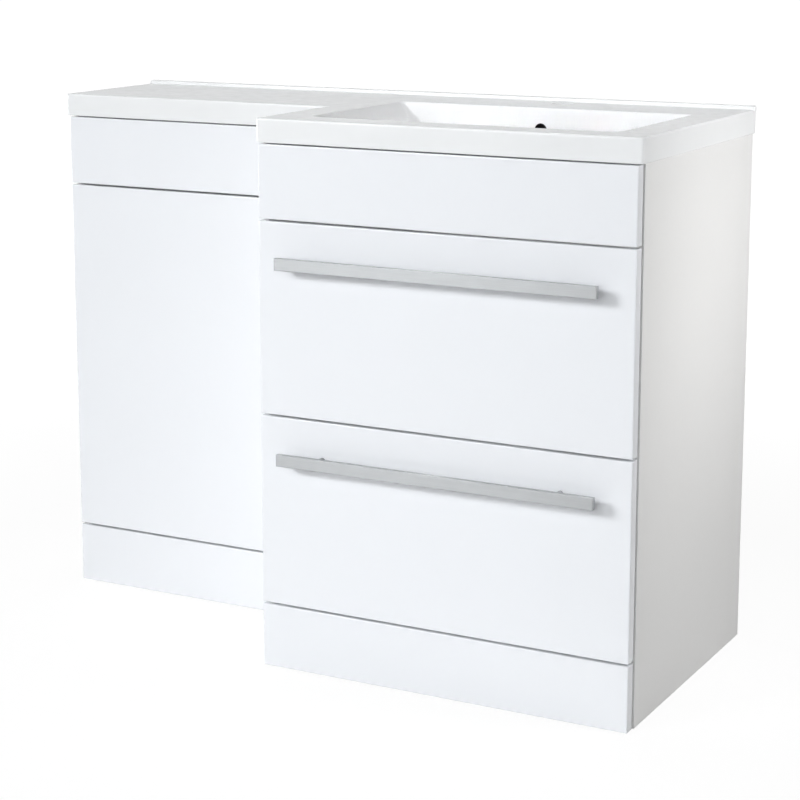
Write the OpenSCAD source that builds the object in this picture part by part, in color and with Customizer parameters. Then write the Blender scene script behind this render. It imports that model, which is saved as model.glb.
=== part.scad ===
// Freestanding bathroom unit: a 600 mm two-drawer vanity beside a 500 mm WC unit, under one L-shaped
// cast basin top. X runs to the right, Y to the wall, Z up. The origin is the box's bottom centre.

/* [Cabinets] */
// Width of the drawer cabinet
vanity_w = 600; // [560:5:700]
// Width of the WC cabinet
wc_w = 500; // [400:5:650]
// Depth of the drawer unit from its fronts to the wall
vanity_d = 470; // [455:1:520]
// Depth of the WC unit from its fronts to the wall
wc_d = 255; // [230:1:300]
// Height of the worktop surface above the floor
top_z = 840; // [830:1:900]
// Thickness of the carcass boards
board_t = 16; // [15:0.5:19]
// Height of the rails across the back
back_rail_h = 100; // [90:1:120]
// How far the front rail of the WC cabinet laps behind its access panel
panel_lap = 40; // [36:1:60]
// Height of the rail behind the WC unit's plinth
wc_low_rail_h = 138; // [134:1:160]

/* [Fronts] */
// Thickness of the fronts
front_t = 18; // [16:0.5:20]
// Gap between neighbouring fronts
front_gap = 3; // [2:0.5:4]
// Gap between the top fronts and the worktop
top_gap = 2; // [1:0.5:4]
// Space between the fronts and the carcass, where buffers and clips sit
front_standoff = 4; // [3:0.25:5]
// Height of the plinth fronts
plinth_h = 98.5; // [92:0.5:110]
// Height of each drawer front
drawer_front_h = 292; // [280:1:296]
// Radius of the rounded edges of the fronts
front_edge_r = 2; // [1:0.25:2.5]

/* [Basin top] */
// Height of the worktop's edge
top_edge_h = 36; // [34:1:42]
// Overhang of the worktop past each outer side
top_overhang = 5; // [2:0.5:8]
// Overhang of the worktop at the step between the two depths
step_overhang = 2; // [0.5:0.5:4]
// Thickness of the deck
deck_t = 14; // [12:0.5:16]
// Thickness of the skirt round the hollow underside
skirt_t = 12; // [10.5:0.5:14]
// Chamfer on the top edges
top_chamfer = 2; // [1:0.25:3]
// Radius of the upright corners
corner_r = 4; // [2:0.5:6]
// Height of the raised lip along the wall
lip_h = 6; // [4:0.5:12]
// Thickness of the raised lip
lip_t = 10; // [6:0.5:12]
// Width of the bowl's opening
bowl_w = 490; // [440:1:500]
// Front-to-back size of the bowl's opening
bowl_l = 290; // [260:1:295]
// Rim between the worktop's front and the bowl
bowl_front_rim = 55; // [52:1:60]
// Depth of the bowl
bowl_depth = 110; // [95:1:116]
// How far each side wall of the bowl runs in on its way down
bowl_side_run = 92; // [70:1:100]
// How far the front wall of the bowl runs in
bowl_front_run = 40; // [25:1:50]
// How far the back wall of the bowl runs in
bowl_back_run = 8; // [4:1:12]
// Radius of the fillet between the bowl's walls and its floor
bowl_fillet = 28; // [20:1:34]
// Corner radius of the bowl's rear corners at the rim
bowl_rim_r = 6; // [4:1:14]
// Corner radius of the bowl's front corners at the rim
bowl_front_r = 20; // [10:1:26]
// Corner radius of the bowl at the floor
bowl_floor_r = 40; // [30:1:50]
// Thickness of the bowl's shell
bowl_wall = 10; // [8:0.5:11]
// Fall of the bowl's floor towards the waste hole
drain_fall = 4; // [2:0.5:5]
// Diameter of the waste hole
waste_d = 46; // [42:1:48]
// Width of the flat seat round the waste hole
waste_seat = 6; // [4:0.5:10]
// Distance from the bowl's fillets to the edge of the floor's fall
fall_in = 6; // [4:0.5:12]
// Height of the boss round the waste hole, below the bowl's floor
waste_boss_h = 28; // [27:1:36]
// Diameter of the tap hole
tap_d = 35; // [32:1:36]
// Distance from the tap hole to the wall
tap_from_wall = 44; // [40:1:50]
// Diameter of the overflow hole
overflow_d = 22; // [18:1:24]
// Distance from the worktop surface down to the overflow hole's centre
overflow_drop = 35; // [30:1:38]
// Inner width of the overflow channel
channel_w = 24; // [20:1:26]
// Inner depth of the overflow channel
channel_t = 12; // [8:0.5:13]
// Wall between the bowl and the overflow channel
channel_wall = 5; // [4:0.5:6]

/* [Handles] */
// Length of the handle bars
handle_w = 508; // [440:1:540]
// Height of the handle bars
handle_h = 18; // [14:0.5:22]
// Thickness of the handle bars
handle_t = 8; // [6:0.5:10]
// Space between the bar and the drawer front, spanned by the posts
handle_reach = 24; // [18:0.5:30]
// Diameter of the handle posts
post_d = 9; // [8:0.5:12]
// Distance between the posts of a handle
post_pitch = 384; // [320:1:400]
// Distance from the top of a drawer front down to its handle's centre
handle_drop = 58; // [50:1:66]
// Diameter of the handle screws
handle_screw_d = 4; // [3.5:0.25:5]
// Depth of the handle screws in the posts
handle_screw_in = 12; // [8:0.5:14]
// Diameter of the handle screws' heads
handle_head_d = 8.5; // [7.5:0.5:10]
// Thickness of the handle screws' heads
handle_head_t = 2.5; // [1.5:0.25:3]

/* [Drawer boxes] */
// Length of the drawer boxes behind the fronts
box_l = 400; // [370:1:410]
// Height of the drawer boxes
box_h = 160; // [130:1:180]
// Thickness of the drawer sides and backs
box_t = 12; // [11:0.5:14]
// Thickness of the drawer bottoms
bottom_t = 6; // [4:0.5:8]
// Depth of the grooves that hold the drawer bottoms
groove_d = 6; // [4:0.5:7]
// Height of the grooves above the lower edge of the drawer sides
groove_z = 10; // [8:0.5:14]
// Height of the drawer sides' lower edge above the lower edge of the drawer front
box_lift = 20; // [14:1:28]
// Distance from a drawer side's lower edge to its first dowel
pin_low = 32; // [28:1:38]
// Distance from a drawer side's upper edge to its last dowel
pin_high = 22; // [14:1:30]
// Clear width of the trap recess in the upper drawer
trap_w = 170; // [140:1:200]
// Distance from the waste hole's centre forward to the front of the trap recess
trap_reach = 75; // [60:1:90]
// Corner radius of the trap recess
trap_r = 30; // [15:1:50]
// Wall of the moulded trap surround
trap_t = 3; // [2.5:0.25:4]
// Width of the trap surround's foot flange
trap_foot = 10; // [7:0.5:14]
// Thickness of the trap surround's foot flange
trap_foot_t = 2; // [1.5:0.25:3]

/* [Runners] */
// Space for a runner between the carcass side and the drawer side
runner_space = 12.7; // [12.4:0.1:13.5]
// Length of the runner rails and tracks
runner_l = 395; // [365:1:395]
// Distance from the front edge of the carcass sides to the rails
rail_set = 2; // [1:0.5:4]
// Distance from the drawer fronts to the tracks
track_set = 1; // [0.5:0.5:3]
// Distance from a roller to the end of its rail or track
roller_end = 3; // [2:0.5:5]
// Length left out of the rails' upper flange where the front rollers stand
rail_notch = 34; // [32:1:44]
// Distance from the rails' front ends to their first screws
rail_screw_front = 55; // [48:1:80]
// Distance from the rails' back ends to their last screws
rail_screw_back = 40; // [20:1:60]
// Distance from the heads of the rail screws up to the flange
rail_screw_drop = 1.5; // [1:0.25:2.5]
// Thickness of the runners' steel
steel_t = 1.2; // [1:0.1:1.4]
// Outer height of the rails' channel
rail_h = 28; // [27:0.5:30]
// Width of the flanges of rails and tracks
flange_w = 9; // [8:0.25:9.2]
// Diameter of the rollers
roller_d = 22; // [20:0.5:22]
// Width of the rollers
roller_w = 7.8; // [7:0.1:7.8]
// Diameter of the stub axles
axle_d = 6; // [5:0.25:7]
// Thickness of the stub axles' heads
axle_head_t = 0.7; // [0.5:0.1:0.8]
// How far the stub axles' heads reach past the axle
axle_head_rim = 1.5; // [1:0.25:2.5]
// Space above the rail's channel before the track's top flange
track_rise = 3; // [2.5:0.25:5]
// Height of the track's foot above the rail's lower face
track_foot = 4; // [3:0.25:6]
// Distance from the track's foot to the inner face of the drawer side
track_foot_in = 2; // [1:0.5:6]

/* [Fittings] */
// Diameter of the cam discs
cam_d = 15; // [13:0.5:16]
// Depth of the cam discs
cam_h = 12.5; // [11:0.25:13]
// Distance from a board's end to the cam disc's centre
cam_in = 24; // [20:0.5:34]
// Height of the cam discs above the middle of their rail
cam_rise = 20; // [17:1:24]
// Width of the cross slot in the cam discs
cam_slot_w = 1.5; // [1:0.25:2]
// Depth of the cross slot in the cam discs
cam_slot_t = 1.5; // [1:0.25:1.5]
// Length of the cross slot in the cam discs
cam_slot_l = 9; // [7:0.5:11]
// Diameter of the cam bolts' shanks
bolt_d = 7; // [6:0.25:7.5]
// Diameter of the cam bolts' threaded ends
bolt_thread_d = 5; // [4:0.25:6]
// Depth of the cam bolts in the carcass sides
bolt_in = 10; // [8:0.5:12]
// Diameter of the carcass dowels
dowel_d = 8; // [7:0.5:8]
// Distance of the carcass dowels below the middle of their rail
dowel_fall = 22; // [17:1:24]
// Distance from the base's front and back edges to its cam discs
base_cam_in = 70; // [55:1:90]
// Distance of the base's dowels inwards from its cam discs
base_dowel_in = 40; // [25:1:60]
// Depth of the carcass dowels in the sides
dowel_in = 10; // [8:0.5:12]
// Depth of the carcass dowels in the boards' ends
dowel_out = 20; // [15:0.5:25]
// Diameter of the drawer dowels
pin_d = 6; // [5:0.25:7]
// Depth of the drawer dowels in the fronts and sides
pin_in = 9; // [7:0.5:10]
// Depth of the drawer dowels in the boards' ends
pin_out = 14; // [10:0.5:18]
// Diameter of the panel clips' pins
clip_pin_d = 8; // [6:0.5:9]
// Depth of the panel clips' pins
clip_pin_l = 11; // [8:0.5:12]
// Diameter of the panel clips' collars
clip_collar_d = 14; // [12:0.5:18]
// Distance from the carcass sides to the panel clips
clip_in = 60; // [40:1:90]
// Distance from the upper and lower edges of fascia and plinth to their panel clips
clip_edge = 20; // [16:1:24]
// Diameter of the drawer buffers
buffer_d = 9; // [7:0.5:10]
// Distance from the drawer fronts' upper and lower edges to the buffers
buffer_in = 25; // [18:1:40]
// Diameter of the sleeves that join the cabinets
sleeve_d = 8; // [7.5:0.25:9]
// Diameter of the screws in those sleeves
link_d = 5; // [4:0.25:5.5]
// Diameter of the joining screws' heads
link_head_d = 14; // [12:0.5:16]
// Thickness of the joining screws' heads
link_head_t = 1.5; // [1:0.25:2]
// How much shorter the sleeves are than the two boards they pass through
sleeve_short = 6; // [4:0.5:8]
// Closed end of the sleeves, under their heads
sleeve_cap = 4; // [3:0.5:5]
// Distance from the WC cabinet's front edge to the first joining screws
link_front = 50; // [40:1:70]
// Distance from the wall to the last joining screws
link_back = 60; // [52:1:75]
// Distance from the drawer cabinet's base up to the lower joining screws
link_low = 130; // [115:1:160]
// Distance from the back rails down to the upper joining screws
link_high = 110; // [70:1:130]
// Height of the wall brackets
bracket_h = 50; // [40:1:60]
// Length of the wall brackets' leg on the carcass side
bracket_side_l = 40; // [36:1:50]
// Length of the wall brackets' leg on the wall
bracket_wall_l = 36; // [34:1:45]
// Thickness of the wall brackets
bracket_t = 2; // [1.5:0.25:3]
// Distance from the upper back rails down to the wall brackets
bracket_drop = 39; // [19:1:79]
// Distance from the front edge of the wall brackets to their screws
bracket_screw_in = 12; // [8:1:16]
// Diameter of the wall brackets' wall holes
bracket_hole_d = 7; // [6:0.5:9]
// Distance from the carcass side to a wall bracket's wall hole
bracket_hole_in = 22; // [20:0.5:24]
// Diameter of the small wood screws
screw_d = 3.5; // [3:0.25:4]
// Length of the small wood screws in the wood
screw_l = 11; // [9:0.5:13]
// Diameter of the small wood screws' heads
screw_head_d = 7; // [6:0.25:7]
// Thickness of the small wood screws' heads
screw_head_t = 1; // [0.8:0.1:1.1]

/* [Clearances] */
// Running clearance of a roller on its stub axle, on the radius
axle_play = 0.05; // [0.02:0.01:0.1]
// Clearance between a roller and the steel it runs on
roll_gap = 0.3; // [0.2:0.05:0.4]
// Side clearance between a roller and its own runner
roller_play = 0.5; // [0.3:0.05:0.6]
// Side clearance between a roller and its axle's head
head_gap = 0.1; // [0.1:0.05:0.2]
// Clearance between the closed drawers and their buffers
buffer_gap = 0.3; // [0.2:0.05:0.5]
// Clearance of a bolt in its cam disc, on the radius
cam_play = 0.05; // [0.02:0.01:0.1]

/* [Hidden] */

// Curves are drawn with this many steps; small fittings need fewer
curve = 48;
small = 24;

// Overall planes. The handles reach the furthest forward
handle_out = handle_reach + handle_t;
top_w = vanity_w + wc_w + 2 * top_overhang;
x_left = -top_w / 2;
x_right = top_w / 2;
y_front = (handle_out - vanity_d) / 2;
y_back = y_front + vanity_d;
y_wc = y_back - wc_d;
z_cab = top_z - top_edge_h;

// Cabinet planes, left to right
xv1 = x_right - top_overhang;
xv0 = xv1 - vanity_w;
xw1 = xv0;
xw0 = xw1 - wc_w;
xv_in0 = xv0 + board_t;
xv_in1 = xv1 - board_t;
xw_in0 = xw0 + board_t;
xw_in1 = xw1 - board_t;
x_step = xv0 - step_overhang;
xv_mid = (xv0 + xv1) / 2;

// Carcass front edges behind the fronts
yv_c = y_front + front_t + front_standoff;
yw_c = y_wc + front_t + front_standoff;

// Front heights, floor to worktop
z_low0 = plinth_h + front_gap;
z_low1 = z_low0 + drawer_front_h;
z_up0 = z_low1 + front_gap;
z_up1 = z_up0 + drawer_front_h;
z_fas0 = z_up1 + front_gap;
z_fas1 = z_cab - top_gap;
base_z1 = plinth_h + front_gap / 2;
base_z0 = base_z1 - board_t;

// Bowl
bowl_x = (x_step + x_right) / 2;
bowl_y0 = y_front + bowl_front_rim;
bowl_y1 = bowl_y0 + bowl_l;
floor_z = top_z - bowl_depth;
floor_y0 = bowl_y0 + bowl_front_run + bowl_fillet;
floor_y1 = bowl_y1 - bowl_back_run - bowl_fillet;
waste_x = bowl_x;
waste_y = (floor_y0 + floor_y1) / 2;
drain_z = floor_z - drain_fall;
boss_z = floor_z - waste_boss_h;
tap_y = y_back - tap_from_wall;
drain_r = (floor_y1 - floor_y0) / 2 - fall_in;

// Drawer boxes between the runners
box_x0 = xv_in0 + runner_space;
box_x1 = xv_in1 - runner_space;
box_y0 = y_front + front_t;
box_y1 = box_y0 + box_l;
low_z = z_low0 + box_lift;
up_z = z_up0 + box_lift;
trap_x0 = waste_x - trap_w / 2;
trap_x1 = waste_x + trap_w / 2;
trap_y0 = waste_y - trap_reach;

// Runners, measured from a rail's lower face
foot_top = track_foot + steel_t;
track_z1 = rail_h + track_rise + steel_t;
rail_y0 = yv_c + rail_set;
rail_y1 = rail_y0 + runner_l;
track_y0 = box_y0 + track_set;
track_y1 = track_y0 + runner_l;
front_roller_y = rail_y0 + roller_end + roller_d / 2;
front_roller_z = track_z1 - steel_t - roll_gap - roller_d / 2;
rear_roller_y = track_y1 - roller_end - roller_d / 2;
rear_roller_z = steel_t + roll_gap + roller_d / 2;
web_x = xv_in0 + steel_t;
track_web_x = box_x0 - steel_t;
rail_screw_z = rail_h - steel_t - screw_head_d / 2 - rail_screw_drop;
rail_screw_ys = [rail_y0 + rail_screw_front, rail_y0 + runner_l / 2, rail_y1 - rail_screw_back];

// Small overlap that joins the pieces of one solid
eps = 0.01;

// Boards and directions

module slab(x0, x1, y0, y1, z0, z1) {
  translate([x0, y0, z0]) cube([x1 - x0, y1 - y0, z1 - z0]);
}

// Turns the Z axis to one of the six row directions
module face(v) {
  if (v[0] != 0) rotate([0, 90 * v[0], 0]) children();
  else if (v[1] != 0) rotate([-90 * v[1], 0, 0]) children();
  else if (v[2] < 0) rotate([180, 0, 0]) children();
  else children();
}

module rod(p, v, d, h, n = small) {
  translate(p) face(v) cylinder(d = d, h = h, $fn = n);
}

// Mirrors a left-hand piece of the drawer cabinet to the right
module to_right() {
  translate([2 * xv_mid, 0, 0]) mirror([1, 0, 0]) children();
}

// Points of a quarter round: centre, radius, first angle
function arc(cx, cy, r, a0, n = 4) =
  [for (i = [0:n]) [cx + r * cos(a0 + 90 * i / n), cy + r * sin(a0 + 90 * i / n)]];

// Outline of a rectangle with round corners, anticlockwise from the right: r at the back, f in front
function ring(x0, x1, y0, y1, r, f, n = 6) = concat(
  arc(x1 - r, y1 - r, r, 0, n), arc(x0 + r, y1 - r, r, 90, n),
  arc(x0 + f, y0 + f, f, 180, n), arc(x1 - f, y0 + f, f, 270, n));

// A front board whose four edges towards the room are rounded
module front_board(x0, x1, y0, z0, z1) {
  r = front_edge_r;
  y1 = y0 + front_t;
  intersection() {
    translate([0, 0, z0]) linear_extrude(z1 - z0)
      polygon(concat([[x1, y1], [x0, y1]], arc(x0 + r, y0 + r, r, 180), arc(x1 - r, y0 + r, r, 270)));
    translate([x0, 0, 0]) rotate([90, 0, 90]) linear_extrude(x1 - x0)
      polygon(concat([[y1, z0], [y1, z1]], arc_up(y0 + r, z1 - r, r), arc_low(y0 + r, z0 + r, r)));
  }
}

function arc_up(cy, cz, r, n = 4) =
  [for (i = [0:n]) [cy + r * cos(90 + 90 * i / n), cz + r * sin(90 + 90 * i / n)]];

function arc_low(cy, cz, r, n = 4) =
  [for (i = [0:n]) [cy + r * cos(180 + 90 * i / n), cz + r * sin(180 + 90 * i / n)]];

// Carcass joints: each end is inner face of the side, direction, Y, Z and the way the cam opens

function ends(x0, x1, y, z, v) = [[x0, 1, y, z, v], [x1, -1, y, z, v]];

function cam_at(z0, z1) = (z0 + z1) / 2 + cam_rise;

function dowel_at(z0, z1) = (z0 + z1) / 2 - dowel_fall;

into = [0, 1, 0];
out = [0, -1, 0];
down = [0, 0, -1];
y_rail_v = yv_c + board_t / 2;
y_rail_w = yw_c + board_t / 2;
y_rail_b = y_back - board_t / 2;
z_base = base_z0 + board_t / 2;
zt0 = z_cab - back_rail_h;
zb0 = base_z1;
zb1 = base_z1 + back_rail_h;
zw_top0 = z_fas0 - panel_lap;
base_ys = [yv_c + base_cam_in, y_back - base_cam_in];

cams_v_front = ends(xv_in0, xv_in1, y_rail_v, cam_at(z_fas0, z_cab), into);
cams_v_top = ends(xv_in0, xv_in1, y_rail_b, cam_at(zt0, z_cab), out);
cams_v_low = ends(xv_in0, xv_in1, y_rail_b, cam_at(zb0, zb1), out);
cams_v_plinth = ends(xv_in0, xv_in1, y_rail_v, cam_at(0, base_z0), into);
cams_v_base = [for (y = base_ys) each ends(xv_in0, xv_in1, y, z_base, down)];
cams_v = concat(cams_v_front, cams_v_top, cams_v_low, cams_v_plinth, cams_v_base);

cams_w_front = ends(xw_in0, xw_in1, y_rail_w, cam_at(zw_top0, z_cab), into);
cams_w_top = ends(xw_in0, xw_in1, y_rail_b, cam_at(zt0, z_cab), out);
cams_w_low = ends(xw_in0, xw_in1, y_rail_b, cam_at(zb0, zb1), out);
cams_w_plinth = ends(xw_in0, xw_in1, y_rail_w, cam_at(0, wc_low_rail_h), into);
cams_w = concat(cams_w_front, cams_w_top, cams_w_low, cams_w_plinth);

dowels_v_front = ends(xv_in0, xv_in1, y_rail_v, dowel_at(z_fas0, z_cab), into);
dowels_v_top = ends(xv_in0, xv_in1, y_rail_b, dowel_at(zt0, z_cab), out);
dowels_v_low = ends(xv_in0, xv_in1, y_rail_b, dowel_at(zb0, zb1), out);
dowels_v_plinth = ends(xv_in0, xv_in1, y_rail_v, dowel_at(0, base_z0), into);
base_pin_ys = [base_ys[0] + base_dowel_in, base_ys[1] - base_dowel_in];
dowels_v_base = [for (y = base_pin_ys) each ends(xv_in0, xv_in1, y, z_base, down)];
dowels_v = concat(dowels_v_front, dowels_v_top, dowels_v_low, dowels_v_plinth, dowels_v_base);

dowels_w_front = ends(xw_in0, xw_in1, y_rail_w, dowel_at(zw_top0, z_cab), into);
dowels_w_top = ends(xw_in0, xw_in1, y_rail_b, dowel_at(zt0, z_cab), out);
dowels_w_low = ends(xw_in0, xw_in1, y_rail_b, dowel_at(zb0, zb1), out);
dowels_w_plinth = ends(xw_in0, xw_in1, y_rail_w, dowel_at(0, wc_low_rail_h), into);
dowels_w = concat(dowels_w_front, dowels_w_top, dowels_w_low, dowels_w_plinth);

// Cuts in a board's ends for its cam discs, bolts and dowels
module end_cuts(cams, dowels) {
  for (e = cams) {
    rod([e[0] - e[1], e[2], e[3]], [e[1], 0, 0], bolt_d + 1, cam_in + 1);
    rod([e[0] + e[1] * cam_in, e[2], e[3]] + e[4] * (board_t / 2 - cam_h), e[4], cam_d, cam_h + 1);
  }
  for (e = dowels) rod([e[0] - e[1], e[2], e[3]], [e[1], 0, 0], dowel_d, dowel_out + 1);
}

// Cuts in a carcass side, dir 1 for a left side and -1 for a right side
module side_cuts(cams, dowels, dir) {
  for (e = cams) if (e[1] == dir)
    rod([e[0] + dir, e[2], e[3]], [-dir, 0, 0], bolt_thread_d, bolt_in + 1);
  for (e = dowels) if (e[1] == dir)
    rod([e[0] + dir, e[2], e[3]], [-dir, 0, 0], dowel_d, dowel_in + 1);
}

// Panel clips: X, Z and the plane of the fronts
clip_fas_z = [z_fas0 + clip_edge, z_fas1 - clip_edge];
clip_pl_z = [clip_edge, base_z0 - clip_edge];
clip_up_z = (zw_top0 + z_fas0 - front_gap) / 2;
clip_low_z = (z_low0 + wc_low_rail_h) / 2;

function clips(x0, x1, zs, y) = [for (z = zs) for (x = [x0 + clip_in, x1 - clip_in]) [x, y, z]];

clips_vf = clips(xv_in0, xv_in1, clip_fas_z, y_front);
clips_vp = clips(xv_in0, xv_in1, clip_pl_z, y_front);
clips_wf = clips(xw_in0, xw_in1, clip_fas_z, y_wc);
clips_wa = clips(xw_in0, xw_in1, [clip_up_z, clip_low_z], y_wc);
clips_wp = clips(xw_in0, xw_in1, clip_pl_z, y_wc);

// Holes for the clips in the fronts (front = true) or in the rails behind them
module clip_cuts(list, front) {
  for (c = list)
    if (front) rod([c[0], c[1] + front_t + 1, c[2]], out, clip_pin_d, clip_pin_l + 1);
    else rod([c[0], c[1] + front_t + front_standoff - 1, c[2]], into, clip_pin_d, clip_pin_l + 1);
}

// Joining bolts between the cabinets: Y and Z
links = [for (y = [yw_c + link_front, y_back - link_back])
  for (z = [base_z1 + link_low, zt0 - link_high]) [y, z]];

module link_cuts() {
  for (p = links) rod([xw_in1 - 1, p[0], p[1]], [1, 0, 0], sleeve_d, 2 * board_t + 2);
}

// Wall brackets sit in the back corners: side plane and direction into the cabinet
brackets = [[xv_in0, 1], [xv_in1, -1], [xw_in0, 1], [xw_in1, -1]];
bracket_z = zt0 - bracket_drop - bracket_h / 2;
bracket_screw_zs = [bracket_z - bracket_h / 4, bracket_z + bracket_h / 4];
bracket_screw_y = y_back - bracket_side_l + bracket_screw_in;

module bracket_cuts(x, dir) {
  for (z = bracket_screw_zs)
    rod([x + dir, bracket_screw_y, z], [-dir, 0, 0], screw_d, screw_l + 1);
}

// Rail screw holes in a drawer cabinet's left side
module rail_cuts() {
  for (z0 = [low_z - foot_top, up_z - foot_top]) for (y = rail_screw_ys)
    rod([xv_in0 + 1, y, z0 + rail_screw_z], [-1, 0, 0], screw_d, screw_l + 1);
}

// Basin top

// Outline of the L-shaped top, anticlockwise from the right front corner
module top_outline() {
  r = corner_r;
  polygon(concat(
    arc(x_right - r, y_front + r, r, 270), [[x_right, y_back], [x_left, y_back]],
    arc(x_left + r, y_wc + r, r, 180), [[x_step, y_wc]], arc(x_step + r, y_front + r, r, 180)));
}

// A 45 degree cut along X at a front edge, or along Y at a side edge
module x_chamfer(x0, x1, y) {
  c = top_chamfer;
  translate([x0, 0, 0]) rotate([90, 0, 90]) linear_extrude(x1 - x0)
    polygon([[y - 1, top_z - c - 1], [y - 1, top_z + 1], [y + c + 1, top_z + 1]]);
}

module y_chamfer(y0, y1, x, dir) {
  c = top_chamfer;
  translate([0, y1, 0]) rotate([90, 0, 0]) linear_extrude(y1 - y0)
    polygon([[x + dir, top_z - c - 1], [x + dir, top_z + 1], [x - dir * (c + 1), top_z + 1]]);
}

// Share of the bowl's depth at which the fillet begins
fillet_from = 0.72;

// How far a bowl wall has run in at depth d (0 to 1): a straight slope, then the fillet
function run_in(d, run) = run * d + bowl_fillet * fillet_in(max(0, (d - fillet_from) / (1 - fillet_from)));

// Quarter circle: 0 where the fillet begins, 1 at the floor
function fillet_in(t) = 1 - sqrt(max(0, 1 - t * t));

// One level of the bowl at depth d, grown outwards by g
function bowl_ring(d, g) = ring(
  bowl_x - bowl_w / 2 + run_in(d, bowl_side_run) - g, bowl_x + bowl_w / 2 - run_in(d, bowl_side_run) + g,
  bowl_y0 + run_in(d, bowl_front_run) - g, bowl_y1 - run_in(d, bowl_back_run) + g,
  bowl_rim_r + (bowl_floor_r - bowl_rim_r) * d + g,
  bowl_front_r + (bowl_floor_r - bowl_front_r) * d + g);

// A solid through levels of equal point counts, each given as depth and height
module loft(levels, g) {
  n = len(bowl_ring(0, g));
  m = len(levels);
  pts = [for (l = levels) for (p = bowl_ring(l[0], g)) [p[0], p[1], l[1]]];
  sides = [for (k = [0:m - 2]) for (i = [0:n - 1]) let (a = k * n + i, b = k * n + (i + 1) % n)
    each [[a, a + n, b], [b, a + n, b + n]]];
  top = [for (i = [1:n - 2]) [0, i, i + 1]];
  low = [for (i = [1:n - 2]) [(m - 1) * n, (m - 1) * n + i + 1, (m - 1) * n + i]];
  polyhedron(points = pts, faces = concat([for (f = sides) [f[2], f[1], f[0]]],
    [for (f = top) [f[2], f[1], f[0]]], [for (f = low) [f[2], f[1], f[0]]]));
}

// Depths of the levels, from the rim to the floor
bowl_steps = [0, 0.36, fillet_from, 0.83, 0.91, 0.965, 0.99, 1];

function levels(above, below) = concat([[0, top_z + above]], above > 0 ? [[0, top_z]] : [],
  [for (d = bowl_steps) if (d > 0) [d, top_z - bowl_depth * d - below * d]]);

module basin_top() color("white") {
  chan_y0 = bowl_y1 + channel_wall;
  chan_y1 = chan_y0 + channel_t;
  chan_z = drain_z - channel_wall;
  chan_low = chan_z - channel_t;
  difference() {
    union() {
      difference() {
        translate([0, 0, z_cab]) linear_extrude(top_edge_h) top_outline();
        slab(xv_in0, x_right - skirt_t, y_front + skirt_t, y_back - skirt_t, z_cab - 1, top_z - deck_t);
        slab(x_left + skirt_t, xw_in1, y_wc + skirt_t, y_back - skirt_t, z_cab - 1, top_z - deck_t);
      }
      difference() {
        slab(x_left, x_right, y_back - lip_t, y_back, top_z - 1, top_z + lip_h);
        translate([x_left - 1, 0, 0]) rotate([90, 0, 90]) linear_extrude(top_w + 2)
          polygon([[y_back - lip_t - 1, top_z + lip_h - top_chamfer - 1],
            [y_back - lip_t - 1, top_z + lip_h + 1], [y_back - lip_t + top_chamfer + 1, top_z + lip_h + 1]]);
      }
      loft(levels(-1, bowl_wall), bowl_wall);
      slab(waste_x - channel_w / 2 - channel_wall, waste_x + channel_w / 2 + channel_wall,
        waste_y, chan_y1 + channel_wall, chan_low - channel_wall, top_z - 1);
      rod([waste_x, waste_y, boss_z], [0, 0, 1], waste_d + 4 * channel_wall, waste_boss_h - 1, curve);
    }
    loft(levels(1, 0), 0);
    translate([waste_x, waste_y, drain_z])
      cylinder(r1 = waste_d / 2 + waste_seat, r2 = drain_r, h = drain_fall + eps, $fn = curve);
    rod([waste_x, waste_y, boss_z - channel_wall * 3], [0, 0, 1], waste_d, bowl_depth, curve);
    rod([waste_x, tap_y, z_cab], [0, 0, 1], tap_d, top_edge_h + 1, curve);
    rod([bowl_x, floor_y1, top_z - overflow_drop], into, overflow_d,
      chan_y0 + channel_t / 2 - floor_y1, curve);
    slab(waste_x - channel_w / 2, waste_x + channel_w / 2, chan_y0, chan_y1,
      chan_low, top_z - overflow_drop + overflow_d / 2 + 1);
    slab(waste_x - channel_w / 2, waste_x + channel_w / 2, waste_y + 1, chan_y1, chan_low, chan_z);
    x_chamfer(x_step - 1, x_right + 1, y_front);
    x_chamfer(x_left - 1, x_step, y_wc);
    y_chamfer(y_front - 1, y_back - lip_t, x_right, 1);
    y_chamfer(y_wc - 1, y_back - lip_t, x_left, -1);
    y_chamfer(y_front - 1, y_wc, x_step, -1);
  }
}

// Drawer cabinet

module vanity_side_left() color("white") difference() {
  slab(xv0, xv_in0, yv_c, y_back, 0, z_cab);
  side_cuts(cams_v, dowels_v, 1);
  link_cuts();
  bracket_cuts(xv_in0, 1);
  rail_cuts();
}

module vanity_side_right() color("white") difference() {
  slab(xv_in1, xv1, yv_c, y_back, 0, z_cab);
  side_cuts(cams_v, dowels_v, -1);
  bracket_cuts(xv_in1, -1);
  to_right() rail_cuts();
}

module vanity_base() color("white") difference() {
  slab(xv_in0, xv_in1, yv_c, y_back, base_z0, base_z1);
  end_cuts(cams_v_base, dowels_v_base);
}

module vanity_front_rail() color("white") difference() {
  slab(xv_in0, xv_in1, yv_c, yv_c + board_t, z_fas0, z_cab);
  end_cuts(cams_v_front, dowels_v_front);
  clip_cuts(clips_vf, false);
}

module vanity_back_rail_top() color("white") difference() {
  slab(xv_in0, xv_in1, y_back - board_t, y_back, zt0, z_cab);
  end_cuts(cams_v_top, dowels_v_top);
}

module vanity_back_rail_low() color("white") difference() {
  slab(xv_in0, xv_in1, y_back - board_t, y_back, zb0, zb1);
  end_cuts(cams_v_low, dowels_v_low);
}

module vanity_plinth_rail() color("white") difference() {
  slab(xv_in0, xv_in1, yv_c, yv_c + board_t, 0, base_z0);
  end_cuts(cams_v_plinth, dowels_v_plinth);
  clip_cuts(clips_vp, false);
}

// The fronts are half a gap narrower than their cabinet on each side
fv0 = xv0 + front_gap / 2;
fv1 = xv1 - front_gap / 2;
fw0 = xw0 + front_gap / 2;
fw1 = xw1 - front_gap / 2;

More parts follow.
